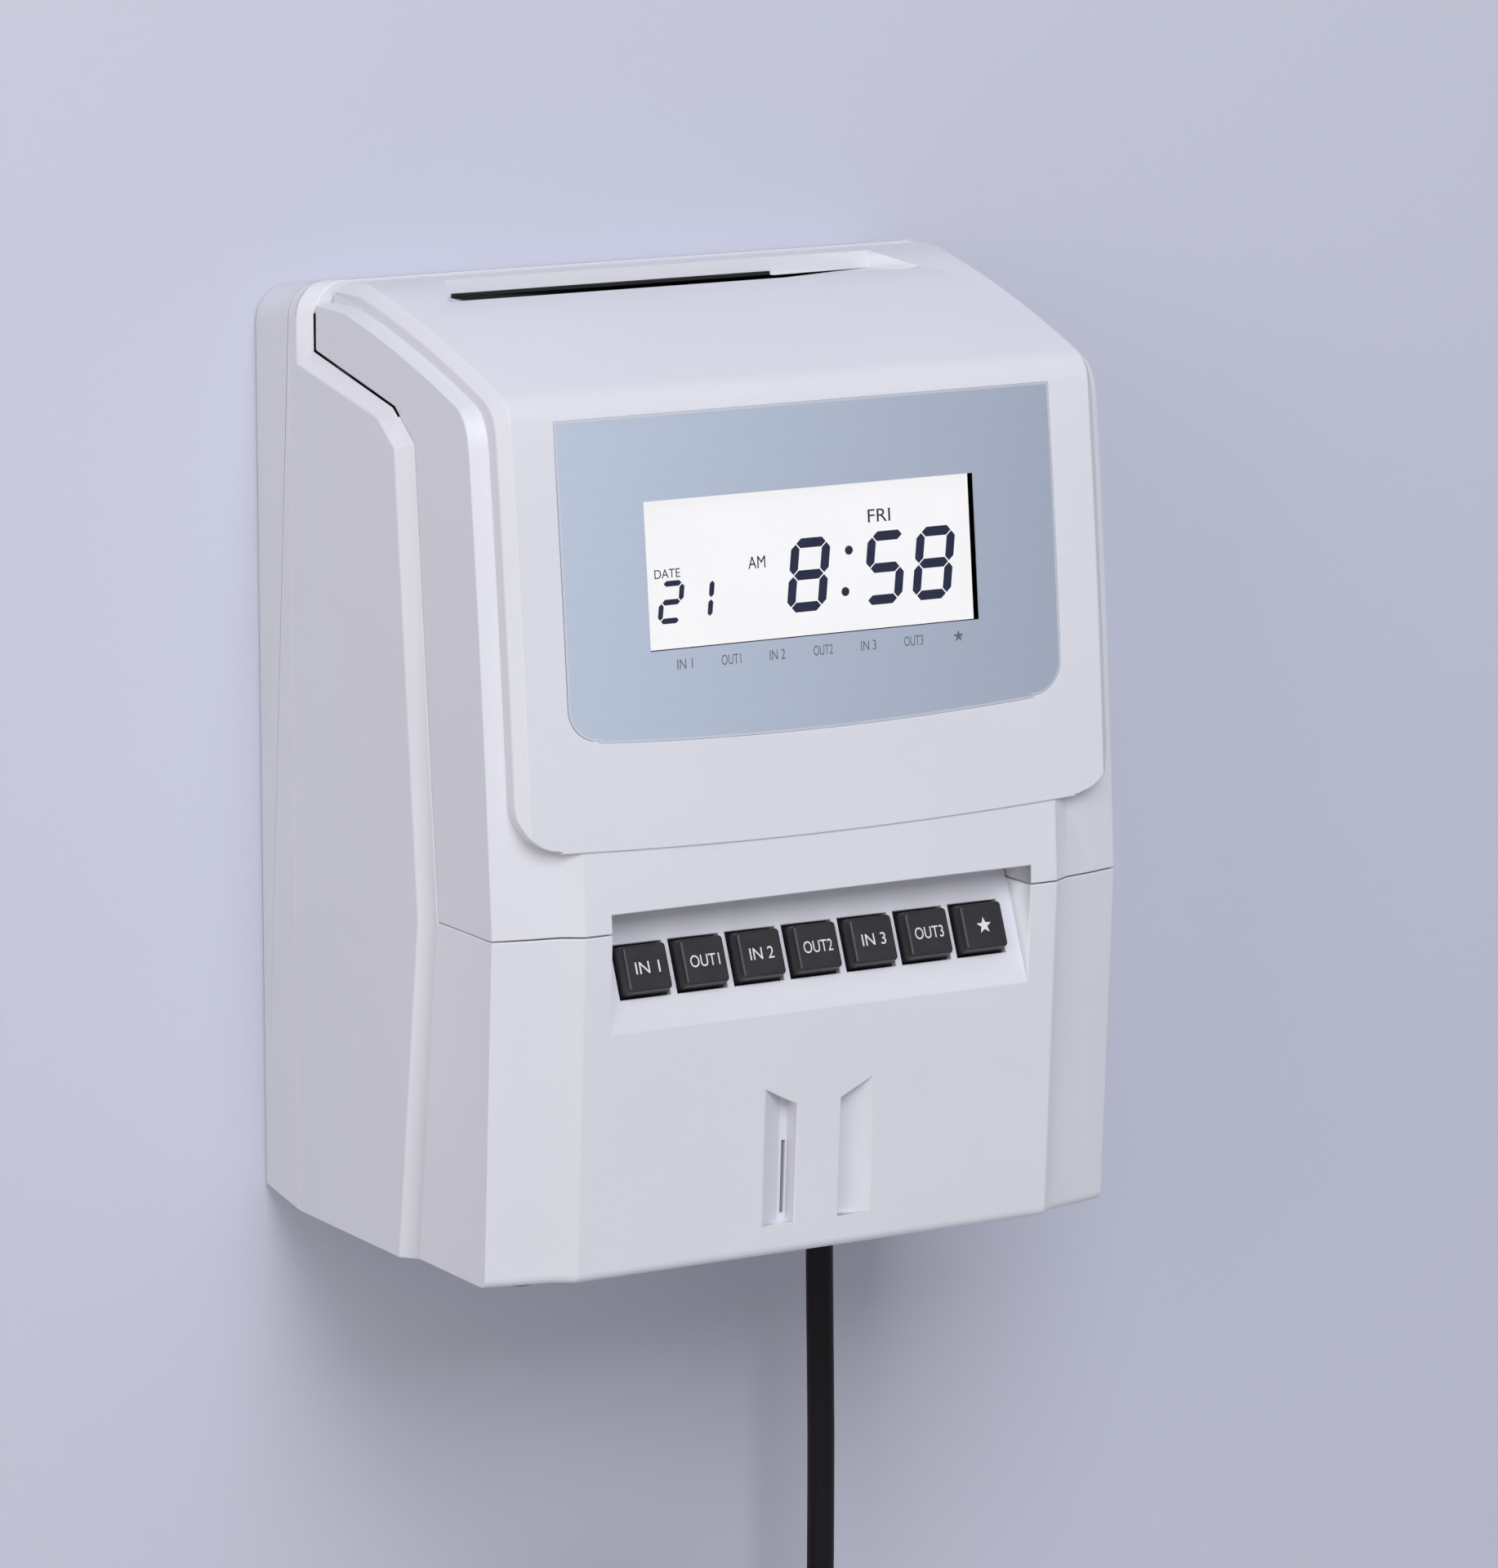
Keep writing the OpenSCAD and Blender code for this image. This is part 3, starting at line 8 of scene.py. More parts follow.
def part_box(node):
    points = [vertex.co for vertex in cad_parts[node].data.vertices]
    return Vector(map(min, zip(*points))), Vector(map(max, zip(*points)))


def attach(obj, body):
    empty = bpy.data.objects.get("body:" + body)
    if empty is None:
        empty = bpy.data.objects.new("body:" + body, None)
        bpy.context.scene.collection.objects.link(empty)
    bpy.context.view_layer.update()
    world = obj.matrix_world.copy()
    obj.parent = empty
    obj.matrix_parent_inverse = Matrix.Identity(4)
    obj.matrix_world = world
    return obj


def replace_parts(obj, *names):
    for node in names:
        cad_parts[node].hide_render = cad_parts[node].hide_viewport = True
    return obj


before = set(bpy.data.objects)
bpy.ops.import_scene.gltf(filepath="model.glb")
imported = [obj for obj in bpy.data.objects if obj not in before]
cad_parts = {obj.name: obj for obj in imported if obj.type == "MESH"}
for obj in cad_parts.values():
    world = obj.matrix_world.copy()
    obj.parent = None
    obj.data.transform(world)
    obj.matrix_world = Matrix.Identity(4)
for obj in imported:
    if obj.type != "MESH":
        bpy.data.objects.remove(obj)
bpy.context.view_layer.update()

# Camera: it looks at the clock from its left and a little above, through a long lens,
# so that the front, the left cheek and the top with its card slot show.
view_turn = math.radians(-30.23)
view_rise = math.radians(11.0)
view_target = Vector((0.01374, -0.060, -0.066))
view_distance = 1.845
view_lens = 172.34
view_sensor = 36
view_back = Vector((
    math.sin(view_turn) * math.cos(view_rise),
    -math.cos(view_turn) * math.cos(view_rise),
    math.sin(view_rise)))
camera_data = bpy.data.cameras.new("camera")
camera_data.lens = view_lens
camera_data.sensor_width = view_sensor
camera = bpy.data.objects.new("camera", camera_data)
camera.location = view_target + view_back * view_distance
camera.rotation_mode = "QUATERNION"
camera.rotation_quaternion = (-view_back).to_track_quat("-Z", "Y")
bpy.context.scene.collection.objects.link(camera)
bpy.context.scene.camera = camera

# Wall and floor: a plain pale painted wall that the clock hangs on, and a pale floor below it.
# Neither shows its back, and the wall is open where the rear case covers it, so that the room's
# light falls on the back as well.
wall_gap = 0.0006
wall_reach = 6.0
wall_lap = 0.0010
rear_corner = 0.0085
floor_h = -1.1
wall_tone = (0.60, 0.610, 0.710, 1)
floor_tone = (0.72, 0.72, 0.73, 1)
paint_roughness = 0.85
paint_sheen = 0.2


def painted(name, tone):
    """Matt paint that is clear from behind."""
    material = bpy.data.materials.new(name)
    material.use_nodes = True
    nodes, links = material.node_tree.nodes, material.node_tree.links
    shader = nodes["Principled BSDF"]
    shader.inputs["Base Color"].default_value = tone
    shader.inputs["Roughness"].default_value = paint_roughness
    shader.inputs["Specular IOR Level"].default_value = paint_sheen
    through = nodes.new("ShaderNodeBsdfTransparent")
    choose = nodes.new("ShaderNodeMixShader")
    links.new(nodes.new("ShaderNodeNewGeometry").outputs["Backfacing"], choose.inputs[0])
    links.new(shader.outputs[0], choose.inputs[1])
    links.new(through.outputs[0], choose.inputs[2])
    links.new(choose.outputs[0], nodes["Material Output"].inputs["Surface"])
    return material


def backdrop(name, bm, material):
    """Turns a bmesh into a piece of the stage."""
    mesh = bpy.data.meshes.new(name)
    bm.to_mesh(mesh)
    bm.free()
    mesh.materials.append(material)
    obj = bpy.data.objects.new(name, mesh)
    bpy.context.scene.collection.objects.link(obj)


bm = bmesh.new()
back_rim = [v.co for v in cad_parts["rear_case"].data.vertices if v.co.y > -wall_gap]
rear_low, rear_high = (
    Vector([pick(co[axis] for co in back_rim) for axis in range(3)]) for pick in (min, max))
rear_mid = (rear_low + rear_high) / 2
wall_w = rear_high.x - rear_low.x - wall_lap * 2 + wall_reach
wall_h = rear_high.z - rear_low.z - wall_lap * 2 + wall_reach
bmesh.ops.create_grid(
    bm, x_segments=1, y_segments=1, size=0.5,
    matrix=Matrix.Translation((rear_mid.x, wall_gap, rear_mid.z)) @ Matrix.Rotation(math.pi / 2, 4, "X")
    @ Matrix.Diagonal((wall_w, wall_h, 1, 1)))
covered = bm.faces[:]
bmesh.ops.inset_region(
    bm, faces=covered, thickness=wall_reach / 2, use_boundary=True, use_even_offset=True)
upper_corners = [v for v in covered[0].verts if v.co.z > rear_mid.z]
bmesh.ops.delete(bm, geom=covered, context="FACES_ONLY")
bmesh.ops.bevel(
    bm, geom=upper_corners, offset=rear_corner, offset_type="OFFSET", segments=6, profile=0.5,
    affect="VERTICES", material=-1)
backdrop("wall", bm, painted("wall_paint", wall_tone))
bm = bmesh.new()
bmesh.ops.create_grid(
    bm, x_segments=1, y_segments=1, size=wall_reach / 2,
    matrix=Matrix.Translation((0, wall_gap - wall_reach / 2, floor_h)))
backdrop("floor", bm, painted("floor_paint", floor_tone))

# Light: one broad soft lamp in front, to the left and above, a warmer one close by at the left,
# one behind that reaches only the clock's back, and an even pale room round them.
room_tone = (0.97, 0.97, 1.0, 1)
room_strength = 0.34
lamps = (
    ("key_lamp", (-0.45, -2.0, 1.35), 1.4, 38.5, (0.90, 0.94, 1.0)),
    ("side_lamp", (-1.3, -0.85, 0.45), 0.9, 5.2, (1.0, 0.90, 0.74)),
    ("back_lamp", (0.6, 1.8, 0.9), 1.2, 20, (0.96, 0.97, 1.0)),
)
for lamp_name, lamp_place, lamp_size, lamp_power, lamp_tone in lamps:
    lamp_data = bpy.data.lights.new(lamp_name, "AREA")
    lamp_data.size = lamp_size
    lamp_data.energy = lamp_power
    lamp_data.color = lamp_tone
    lamp = bpy.data.objects.new(lamp_name, lamp_data)
    lamp.location = lamp_place
    lamp.rotation_mode = "QUATERNION"
    lamp.rotation_quaternion = (view_target - lamp.location).to_track_quat("-Z", "Y")
    bpy.context.scene.collection.objects.link(lamp)
room = bpy.data.worlds.new("room")
room.use_nodes = True
room.node_tree.nodes["Background"].inputs["Color"].default_value = room_tone
room.node_tree.nodes["Background"].inputs["Strength"].default_value = room_strength
bpy.context.scene.world = room
bpy.context.scene.view_settings.view_transform = "Standard"

# Mains cord: a round black vinyl lead that drops from the clock's underside. The length that
# isn't hanging is wound below it into six loops in two layers and runs down to its plug.
hang_h = 0.170
cord_dia = 0.007
cord_x = 0.052
cord_d = 0.030
free_route = (
    (0.0520, 0.0300, -0.020), (0.0520, 0.0300, -0.028), (0.0521, 0.0301, -0.042), (0.0522, 0.0303, -0.058),
    (0.0523, 0.0304, -0.074), (0.0523, 0.0304, -0.090), (0.0523, 0.0303, -0.106), (0.0522, 0.0302, -0.122),
    (0.0521, 0.0301, -0.138), (0.0520, 0.0300, -0.154), (0.0520, 0.0300, -0.168))
coil_pitch = 0.0078
coil_in = 0.0293
coil_loops = 6
coil_climb = 0.5
coil_x = -0.0007
coil_h = -0.175
loop_steps = 48
tail_len = 0.0617
tail_steps = 6
patch_low = 0.3
patch_high = 0.7


def spot(x, depth, height):
    """Place in the frame from an offset, a depth off the wall and a height above the underside."""
    return Vector((x, -depth, height - hang_h))


def coil_spot(turn):
    """Place on the coil after so many turns: inwards in the first layer, outwards in the second."""
    half_way = turn - coil_loops / 2
    radius = coil_in + coil_pitch * abs(half_way)
    climb = max(0.0, min(1.0, half_way / coil_climb + 0.5))
    depth = cord_d - coil_pitch * climb * climb * (3 - 2 * climb)
    angle = -2 * math.pi * turn
    return spot(coil_x + radius * math.cos(angle), depth, coil_h + radius * math.sin(angle))


def grained(name, tone, shade, mottle, grain, depth, roughness, spread=0.06, **sockets):
    """Finish with two close tones in soft patches of one size, and a fine raised grain of another."""
    material = bpy.data.materials.new(name)
    material.use_nodes = True
    nodes, links = material.node_tree.nodes, material.node_tree.links
    shader = nodes["Principled BSDF"]
    place = nodes.new("ShaderNodeTexCoord")
    patches = nodes.new("ShaderNodeTexNoise")
    patches.inputs["Scale"].default_value = 1 / mottle
    patches.inputs["Detail"].default_value = 4
    links.new(place.outputs["Object"], patches.inputs["Vector"])
    tones = nodes.new("ShaderNodeValToRGB")
    tones.color_ramp.elements[0].position = patch_low
    tones.color_ramp.elements[0].color = (*shade, 1)
    tones.color_ramp.elements[1].position = patch_high
    tones.color_ramp.elements[1].color = (*tone, 1)
    links.new(patches.outputs["Fac"], tones.inputs["Fac"])
    links.new(tones.outputs["Color"], shader.inputs["Base Color"])
    gloss = nodes.new("ShaderNodeMapRange")
    gloss.inputs["To Min"].default_value = roughness - spread
    gloss.inputs["To Max"].default_value = roughness + spread
    links.new(patches.outputs["Fac"], gloss.inputs["Value"])
    links.new(gloss.outputs["Result"], shader.inputs["Roughness"])
    fine = nodes.new("ShaderNodeTexNoise")
    fine.inputs["Scale"].default_value = 1 / grain
    fine.inputs["Detail"].default_value = 2
    links.new(place.outputs["Object"], fine.inputs["Vector"])
    raised = nodes.new("ShaderNodeBump")
    raised.inputs["Strength"].default_value = 1
    raised.inputs["Distance"].default_value = depth
    links.new(fine.outputs["Fac"], raised.inputs["Height"])
    links.new(raised.outputs["Normal"], shader.inputs["Normal"])
    for socket, value in sockets.items():
        shader.inputs[socket.replace("_", " ")].default_value = value
    return material


def add_piece(name, bm, material, body):
    """Turns a finished bmesh into a piece that rides on a body."""
    mesh = bpy.data.meshes.new(name)
    bm.to_mesh(mesh)
    bm.free()
    mesh.materials.append(material)
    obj = bpy.data.objects.new(name, mesh)
    bpy.context.scene.collection.objects.link(obj)
    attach(obj, body)
    return obj


def finish_node(node, material):
    """Gives a piece that keeps its own solid the material of its real surface."""
    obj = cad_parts[node]
    obj.data.materials.clear()
    obj.data.materials.append(material)
    return obj


cord_line = [spot(*p) for p in free_route]
cord_line += [coil_spot(i / loop_steps) for i in range(coil_loops * loop_steps + 1)]
tail_top = cord_line[-1]
cord_line += [tail_top - Vector((0, 0, tail_len * i / tail_steps)) for i in range(1, tail_steps + 1)]
cord_curve = bpy.data.curves.new("mains_cord", "CURVE")
cord_curve.dimensions = "3D"
cord_curve.bevel_depth = cord_dia / 2
cord_curve.bevel_resolution = 5
cord_curve.use_fill_caps = True
cord_spline = cord_curve.splines.new("POLY")
cord_spline.points.add(len(cord_line) - 1)
for point, place in zip(cord_spline.points, cord_line):
    point.co = (*place, 1)
cord_spline.use_smooth = True
sheath = grained(
    "cord_vinyl", (0.008, 0.0055, 0.0075), (0.005, 0.004, 0.005), 0.02, 0.0005, 0.00004, 0.50,
    Specular_IOR_Level=0.22)
cord_curve.materials.append(sheath)
cord = bpy.data.objects.new("mains_cord", cord_curve)
bpy.context.scene.collection.objects.link(cord)
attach(cord, "case")
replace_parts(cord, "cord", "cord_coil")

# Cord tie: a soft woven strap that goes once round the loops at the top of the coil and closes
# on itself with a short overlapping end.
tie_low, tie_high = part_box("cord_tie")
tie_mid = (tie_low + tie_high) / 2
tie_size = tie_high - tie_low
tie_round = 0.0045
tie_t = 0.0012
tab_t = 0.0014
tab_proud = 0.0004
tab_round = 0.0005
tab_drop = tie_size.z * 0.08
tab_w = tie_size.x * 0.98
tab_h = tie_size.z * 0.5
bm = bmesh.new()
bmesh.ops.create_cube(bm, size=1, matrix=Matrix.Translation(tie_mid) @ Matrix.Diagonal((*tie_size, 1)))
ends = [f for f in bm.faces if abs(f.normal.x) > 0.5]
bmesh.ops.delete(bm, geom=ends, context="FACES_ONLY")
along = [e for e in bm.edges if abs(e.verts[0].co.x - e.verts[1].co.x) > tie_size.x / 2]
bmesh.ops.bevel(
    bm, geom=along, offset=tie_round, offset_type="OFFSET", segments=5, profile=0.5,
    affect="EDGES", clamp_overlap=True, material=-1)
bmesh.ops.solidify(bm, geom=bm.faces[:], thickness=tie_t)
tab = bmesh.ops.create_cube(
    bm, size=1,
    matrix=Matrix.Translation((tie_mid.x, tie_low.y - tab_proud, tie_mid.z - tab_drop))
    @ Matrix.Diagonal((tab_w, tab_t, tab_h, 1)))["verts"]
bmesh.ops.bevel(
    bm, geom=list({e for v in tab for e in v.link_edges}), offset=tab_round, offset_type="OFFSET",
    segments=2, profile=0.5, affect="EDGES", clamp_overlap=True, material=-1)
bmesh.ops.recalc_face_normals(bm, faces=bm.faces[:])
strap = grained("tie_weave", (0.030, 0.029, 0.031), (0.017, 0.016, 0.018), 0.0014, 0.0006, 0.00022, 0.82)
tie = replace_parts(add_piece("cord_strap", bm, strap, "case"), "cord_tie")

# Plug: a two-blade mains plug of black vinyl moulded on to the cord's end, with a ribbed sleeve
# that tapers up to the cord, and nickel-plated blades.
plug_d = cord_d - coil_pitch
plug_top = spot(cord_x, plug_d, coil_h - tail_len)
plug_sleeve = 0.022
plug_len = 0.030
plug_half = 0.011
plug_t = 0.015
sleeve_neck = 0.0060
sleeve_tip = 0.0043
rib_count = 5
rib_first = 0.45
ribbed_share = 0.8
rib_groove = ((0.0, 0.0), (0.0004, 0.0007), (0.0013, 0.0007), (0.0017, 0.0))
sleeve_steps = 28
plug_round = 0.0022


def thicken(bm, faces, shift):
    """Draws flat faces out into a solid."""
    drawn = bmesh.ops.extrude_face_region(bm, geom=faces)["geom"]
    bmesh.ops.translate(bm, verts=[g for g in drawn if isinstance(g, bmesh.types.BMVert)], vec=shift)


bm = bmesh.new()
outline = [
    bm.verts.new(plug_top + Vector((x, -plug_t / 2, -z)))
    for x, z in (
        (-sleeve_neck, plug_sleeve), (-plug_half, plug_sleeve + plug_len / 4),
        (-plug_half, plug_sleeve + plug_len), (plug_half, plug_sleeve + plug_len),
        (plug_half, plug_sleeve + plug_len / 4), (sleeve_neck, plug_sleeve))]
thicken(bm, [bm.faces.new(outline)], (0, plug_t, 0))
bmesh.ops.recalc_face_normals(bm, faces=bm.faces[:])
bmesh.ops.bevel(
    bm, geom=bm.edges[:], offset=plug_round, offset_type="OFFSET", segments=4, profile=0.5,
    affect="EDGES", clamp_overlap=True, material=-1)
profile = [Vector((cord_dia / 2, 0, 0)), Vector((sleeve_tip, 0, 0))]
for i in range(rib_count):
    top = (i + rib_first) / rib_count * plug_sleeve * ribbed_share
    for down, waist in rib_groove:
        share = (top + down) / plug_sleeve
        profile.append(Vector((sleeve_tip + (sleeve_neck - sleeve_tip) * share - waist, 0, -top - down)))
profile.append(Vector((sleeve_neck, 0, -plug_sleeve - plug_round)))
turned = [bm.verts.new(plug_top + p) for p in profile]
rim = [bm.edges.new(pair) for pair in zip(turned, turned[1:])]
bmesh.ops.spin(
    bm, geom=turned + rim, cent=plug_top, axis=(0, 0, 1), angle=2 * math.pi, steps=sleeve_steps,
    use_merge=True)
bmesh.ops.recalc_face_normals(bm, faces=bm.faces[:])
for face in bm.faces:
    face.smooth = True
plug_vinyl = grained(
    "plug_vinyl", (0.024, 0.021, 0.022), (0.016, 0.014, 0.015), 0.015, 0.0006, 0.00005, 0.38)
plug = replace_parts(add_piece("mains_plug", bm, plug_vinyl, "case"), "plug")
blade_metal = grained(
    "blade_nickel", (0.62, 0.58, 0.48), (0.52, 0.48, 0.40), 0.006, 0.0004, 0.00002, 0.26, Metallic=1.0)
blades = finish_node("plug_blades", blade_metal)
finish_node("cord_gland", plug_vinyl)

# Rear case: a shallow moulded tray screwed flat to the wall side of the clock, with two keyhole
# slots to hang it by. The same fine-grained off-white plastic is used for every outer shell.
weld = 1e-6
flat_angle = math.radians(0.5)
crease_angle = math.radians(24.5)
knife_angle = math.radians(100)
shortest_edge = 0.0008
edge_round = 0.00036


def moulding(node, name, material, body, kept_sharp=lambda edge: False):
    """Copy of a moulded shell with its flat faces joined and its long outer edges rounded."""
    bm = bmesh.new()
    bm.from_mesh(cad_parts[node].data)
    bmesh.ops.remove_doubles(bm, verts=bm.verts[:], dist=weld)
    bmesh.ops.dissolve_limit(bm, angle_limit=flat_angle, verts=bm.verts[:], edges=bm.edges[:])
    creases = [e for e in bm.edges if e.calc_face_angle(0) > crease_angle]
    corners = [
        e for e in creases
        if e.is_convex and e.calc_face_angle() < knife_angle and e.calc_length() > shortest_edge
        and not kept_sharp(e)]
    for edge in set(creases) - set(corners):
        edge.smooth = False
    bmesh.ops.bevel(
        bm, geom=corners, offset=edge_round, offset_type="OFFSET", segments=3, profile=0.5,
        affect="EDGES", clamp_overlap=False, material=-1)
    for face in bm.faces:
        face.smooth = True
    piece = add_piece(name, bm, material, body)
    even = piece.modifiers.new("even_normals", "WEIGHTED_NORMAL")
    even.keep_sharp = True
    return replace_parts(piece, node)


shell_tone = (0.735, 0.735, 0.790)
shell_shade = (0.715, 0.713, 0.765)
shell_plastic = grained("shell_plastic", shell_tone, shell_shade, 0.05, 0.00035, 0.000012, 0.46, 0.04)
moulding("rear_case", "rear_tray", shell_plastic, "case")

# Screws and feet: zinc-plated screws sunk in the back of the rear case, and four black rubber
# feet pressed into the underside, on which the clock can stand on a desk.
screw_zinc = grained(
    "screw_zinc", (0.60, 0.60, 0.61), (0.48, 0.48, 0.50), 0.002, 0.0003, 0.00002, 0.34, Metallic=1.0)
finish_node("case_screws", screw_zinc)
foot_rubber = grained(
    "foot_rubber", (0.020, 0.020, 0.021), (0.012, 0.012, 0.013), 0.004, 0.0005, 0.00006, 0.78)
finish_node("rubber_feet", foot_rubber)

# Lower housing: one moulding with the two chamfered cheeks, the bulging front with its key pocket
# and the finger grip. It is screwed to the rear case from behind.
moulding("main_housing", "lower_housing", shell_plastic, "case")

# Hinged cover: the raised display field, the top with the card trough and the slot. It turns on
# two steel pins behind the trough, so that the ribbon can be changed. Its edges along the narrow
# seams to the cheeks are sharp.
side_facing = 0.99
seam_lean = 0.3


def at_seam(edge):
    """Whether the cover's side ends here at the narrow seam to a cheek."""
    end, side = sorted((face.normal for face in edge.link_faces), key=lambda normal: abs(normal.x))
    return abs(side.x) > side_facing and (end.y > seam_lean or end.z < -seam_lean)


moulding("upper_cover", "hinged_cover", shell_plastic, "cover", at_seam)
pin_steel = grained(
    "pin_steel", (0.62, 0.62, 0.63), (0.52, 0.52, 0.54), 0.003, 0.0004, 0.00001, 0.24, Metallic=1.0)
finish_node("hinge_pins", pin_steel)

# Slot liner: the black mouthpiece let into the trough's floor, which leads the card into the
# slot. It is a plain moulding pressed in from above, with a narrow raised lip along its rear rim.
lip_h = 0.0010
lip_t = 0.0007
lip_round = 0.00015
liner_black = grained(
    "liner_black", (0.013, 0.013, 0.014), (0.008, 0.008, 0.009), 0.01, 0.0004, 0.00002, 0.62)
finish_node("slot_liner", liner_black)
liner_low, liner_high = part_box("slot_liner")
lip_mid = Vector(((liner_low.x + liner_high.x) / 2, liner_high.y - lip_t / 2, liner_high.z + lip_h / 2))
bm = bmesh.new()
bmesh.ops.create_cube(
    bm, size=1,
    matrix=Matrix.Translation(lip_mid) @ Matrix.Diagonal((liner_high.x - liner_low.x, lip_t, lip_h, 1)))
bmesh.ops.bevel(
    bm, geom=bm.edges[:], offset=lip_round, offset_type="OFFSET", segments=2, profile=0.5, affect="EDGES",
    material=-1)
add_piece("slot_lip", bm, liner_black, "cover")

# Display label: a thin film with a brushed silver-blue print, stuck in a shallow recess of the cover round
# the display window.
# Its print is painted lighter at the left, a reflection of the light from that side, and the pale line
# along its outer edge is a painted highlight of the recess's rim.
highlight_rim_w = 0.0006
label_reach = 0.068
label_flat = math.radians(0.02)
front_facing = 0.7
window_clear = 0.050
# Film tones at its left and right ends: the left is lighter by a painted reflection of the light from that
# side.
film_lit_left = (0.56, 0.63, 0.76)
film_shaded_right = (0.42, 0.47, 0.575)
# Tones of the pale line along the film's outer edge, a painted highlight of the recess's rim, also lighter
# at the left.
rim_highlight_left = (0.72, 0.75, 0.83)
rim_highlight_right = (0.64, 0.67, 0.76)
streak_len = 0.03
streak_t = 0.00035
streak_depth = 0.05


def brushed_with_painted_reflection(name, lit_end, shaded_end, roughness, metallic):
    """Film with fine level streaks, lighter at its left and darker at its right: a painted reflection of
    the light from the left.
    """
    material = bpy.data.materials.new(name)
    material.use_nodes = True
    nodes, links = material.node_tree.nodes, material.node_tree.links
    shader = nodes["Principled BSDF"]
    place = nodes.new("ShaderNodeTexCoord").outputs["Object"]
    parts = nodes.new("ShaderNodeSeparateXYZ")
    links.new(place, parts.inputs[0])
    across = nodes.new("ShaderNodeMapRange")
    across.inputs["From Min"].default_value = -label_reach
    across.inputs["From Max"].default_value = label_reach
    links.new(parts.outputs["X"], across.inputs["Value"])
    tones = nodes.new("ShaderNodeValToRGB")
    tones.color_ramp.elements[0].color = (*lit_end, 1)
    tones.color_ramp.elements[1].color = (*shaded_end, 1)
    links.new(across.outputs["Result"], tones.inputs["Fac"])
    drawn = nodes.new("ShaderNodeMapping")
    drawn.inputs["Scale"].default_value = (1 / streak_len, 1 / streak_len, 1 / streak_t)
    links.new(place, drawn.inputs["Vector"])
    streaks = nodes.new("ShaderNodeTexNoise")
    streaks.inputs["Scale"].default_value = 1
    streaks.inputs["Detail"].default_value = 3
    links.new(drawn.outputs["Vector"], streaks.inputs["Vector"])
    light = nodes.new("ShaderNodeMapRange")
    light.inputs["To Min"].default_value = 1 - streak_depth
    light.inputs["To Max"].default_value = 1 + streak_depth
    links.new(streaks.outputs["Fac"], light.inputs["Value"])
    shaded = nodes.new("ShaderNodeVectorMath")
    shaded.operation = "SCALE"
    links.new(tones.outputs["Color"], shaded.inputs[0])
    links.new(light.outputs["Result"], shaded.inputs["Scale"])
    links.new(shaded.outputs["Vector"], shader.inputs["Base Color"])
    shader.inputs["Roughness"].default_value = roughness
    shader.inputs["Metallic"].default_value = metallic
    return material


bm = bmesh.new()
bm.from_mesh(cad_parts["label_panel"].data)
bmesh.ops.remove_doubles(bm, verts=bm.verts[:], dist=weld)
bmesh.ops.dissolve_limit(bm, angle_limit=label_flat, verts=bm.verts[:], edges=bm.edges[:])
printed = [f for f in bm.faces if f.normal.y < -front_facing]
# The ring along the film's outer edge gets a pale painted highlight in place of the light the recess's rim
# catches; the ring round the window keeps the film.
rim_highlight_faces = bmesh.ops.inset_region(
    bm, faces=printed, thickness=highlight_rim_w, use_boundary=True, use_even_offset=True)["faces"]
window_mid = (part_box("lcd_panel")[0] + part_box("lcd_panel")[1]) / 2
for face in rim_highlight_faces:
    off = face.calc_center_median() - window_mid
    if abs(off.x) > window_clear or abs(off.z) > window_clear / 2:
        face.material_index = 1
film = brushed_with_painted_reflection("label_film_and_reflection", film_lit_left, film_shaded_right, 0.42, 0.2)
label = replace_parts(add_piece("display_label", bm, film, "cover"), "label_panel")
label.data.materials.append(brushed_with_painted_reflection("label_pale_highlight", rim_highlight_left, rim_highlight_right, 0.3, 0.3))

# Display window: a clear moulded lens behind the label, sealed to the cover by a thin black foam
# frame that lines the opening.
window_w = 0.0907
window_h = 0.0353
lens_deep = 0.00262
gasket_t = 0.0004
gasket_top = -0.0004
gasket_clear = 0.00003
display_d = 0.114078
display_h = 0.1682
display_tilt = math.radians(5.564)
display_place = (
    Matrix.Translation(spot(0, display_d, display_h)) @ Matrix.Rotation(math.pi / 2 - display_tilt, 4, "X"))
bm = bmesh.new()
rim_face = bm.faces.new([
    bm.verts.new((x * (window_w / 2 - gasket_clear), y * (window_h / 2 - gasket_clear), gasket_top))
    for x, y in ((-1, -1), (1, -1), (1, 1), (-1, 1))])
ring = bmesh.ops.inset_region(
    bm, faces=[rim_face], thickness=gasket_t, use_boundary=True, use_even_offset=True)["faces"]
bmesh.ops.delete(bm, geom=[rim_face], context="FACES_ONLY")
thicken(bm, ring, (0, 0, -lens_deep - gasket_top))
bmesh.ops.recalc_face_normals(bm, faces=bm.faces[:])
bmesh.ops.transform(bm, matrix=display_place, verts=bm.verts[:])
gasket_foam = grained(
    "gasket_foam", (0.016, 0.013, 0.013), (0.009, 0.008, 0.008), 0.002, 0.0003, 0.00005, 0.85)
add_piece("window_gasket", bm, gasket_foam, "cover")
lens_clear = grained(
    "lens_clear", (0.985, 0.990, 0.990), (0.975, 0.980, 0.985), 0.03, 0.002, 0.0000001, 0.03, 0.01,
    Transmission_Weight=1.0, IOR=1.25)
finish_node("display_lens", lens_clear)

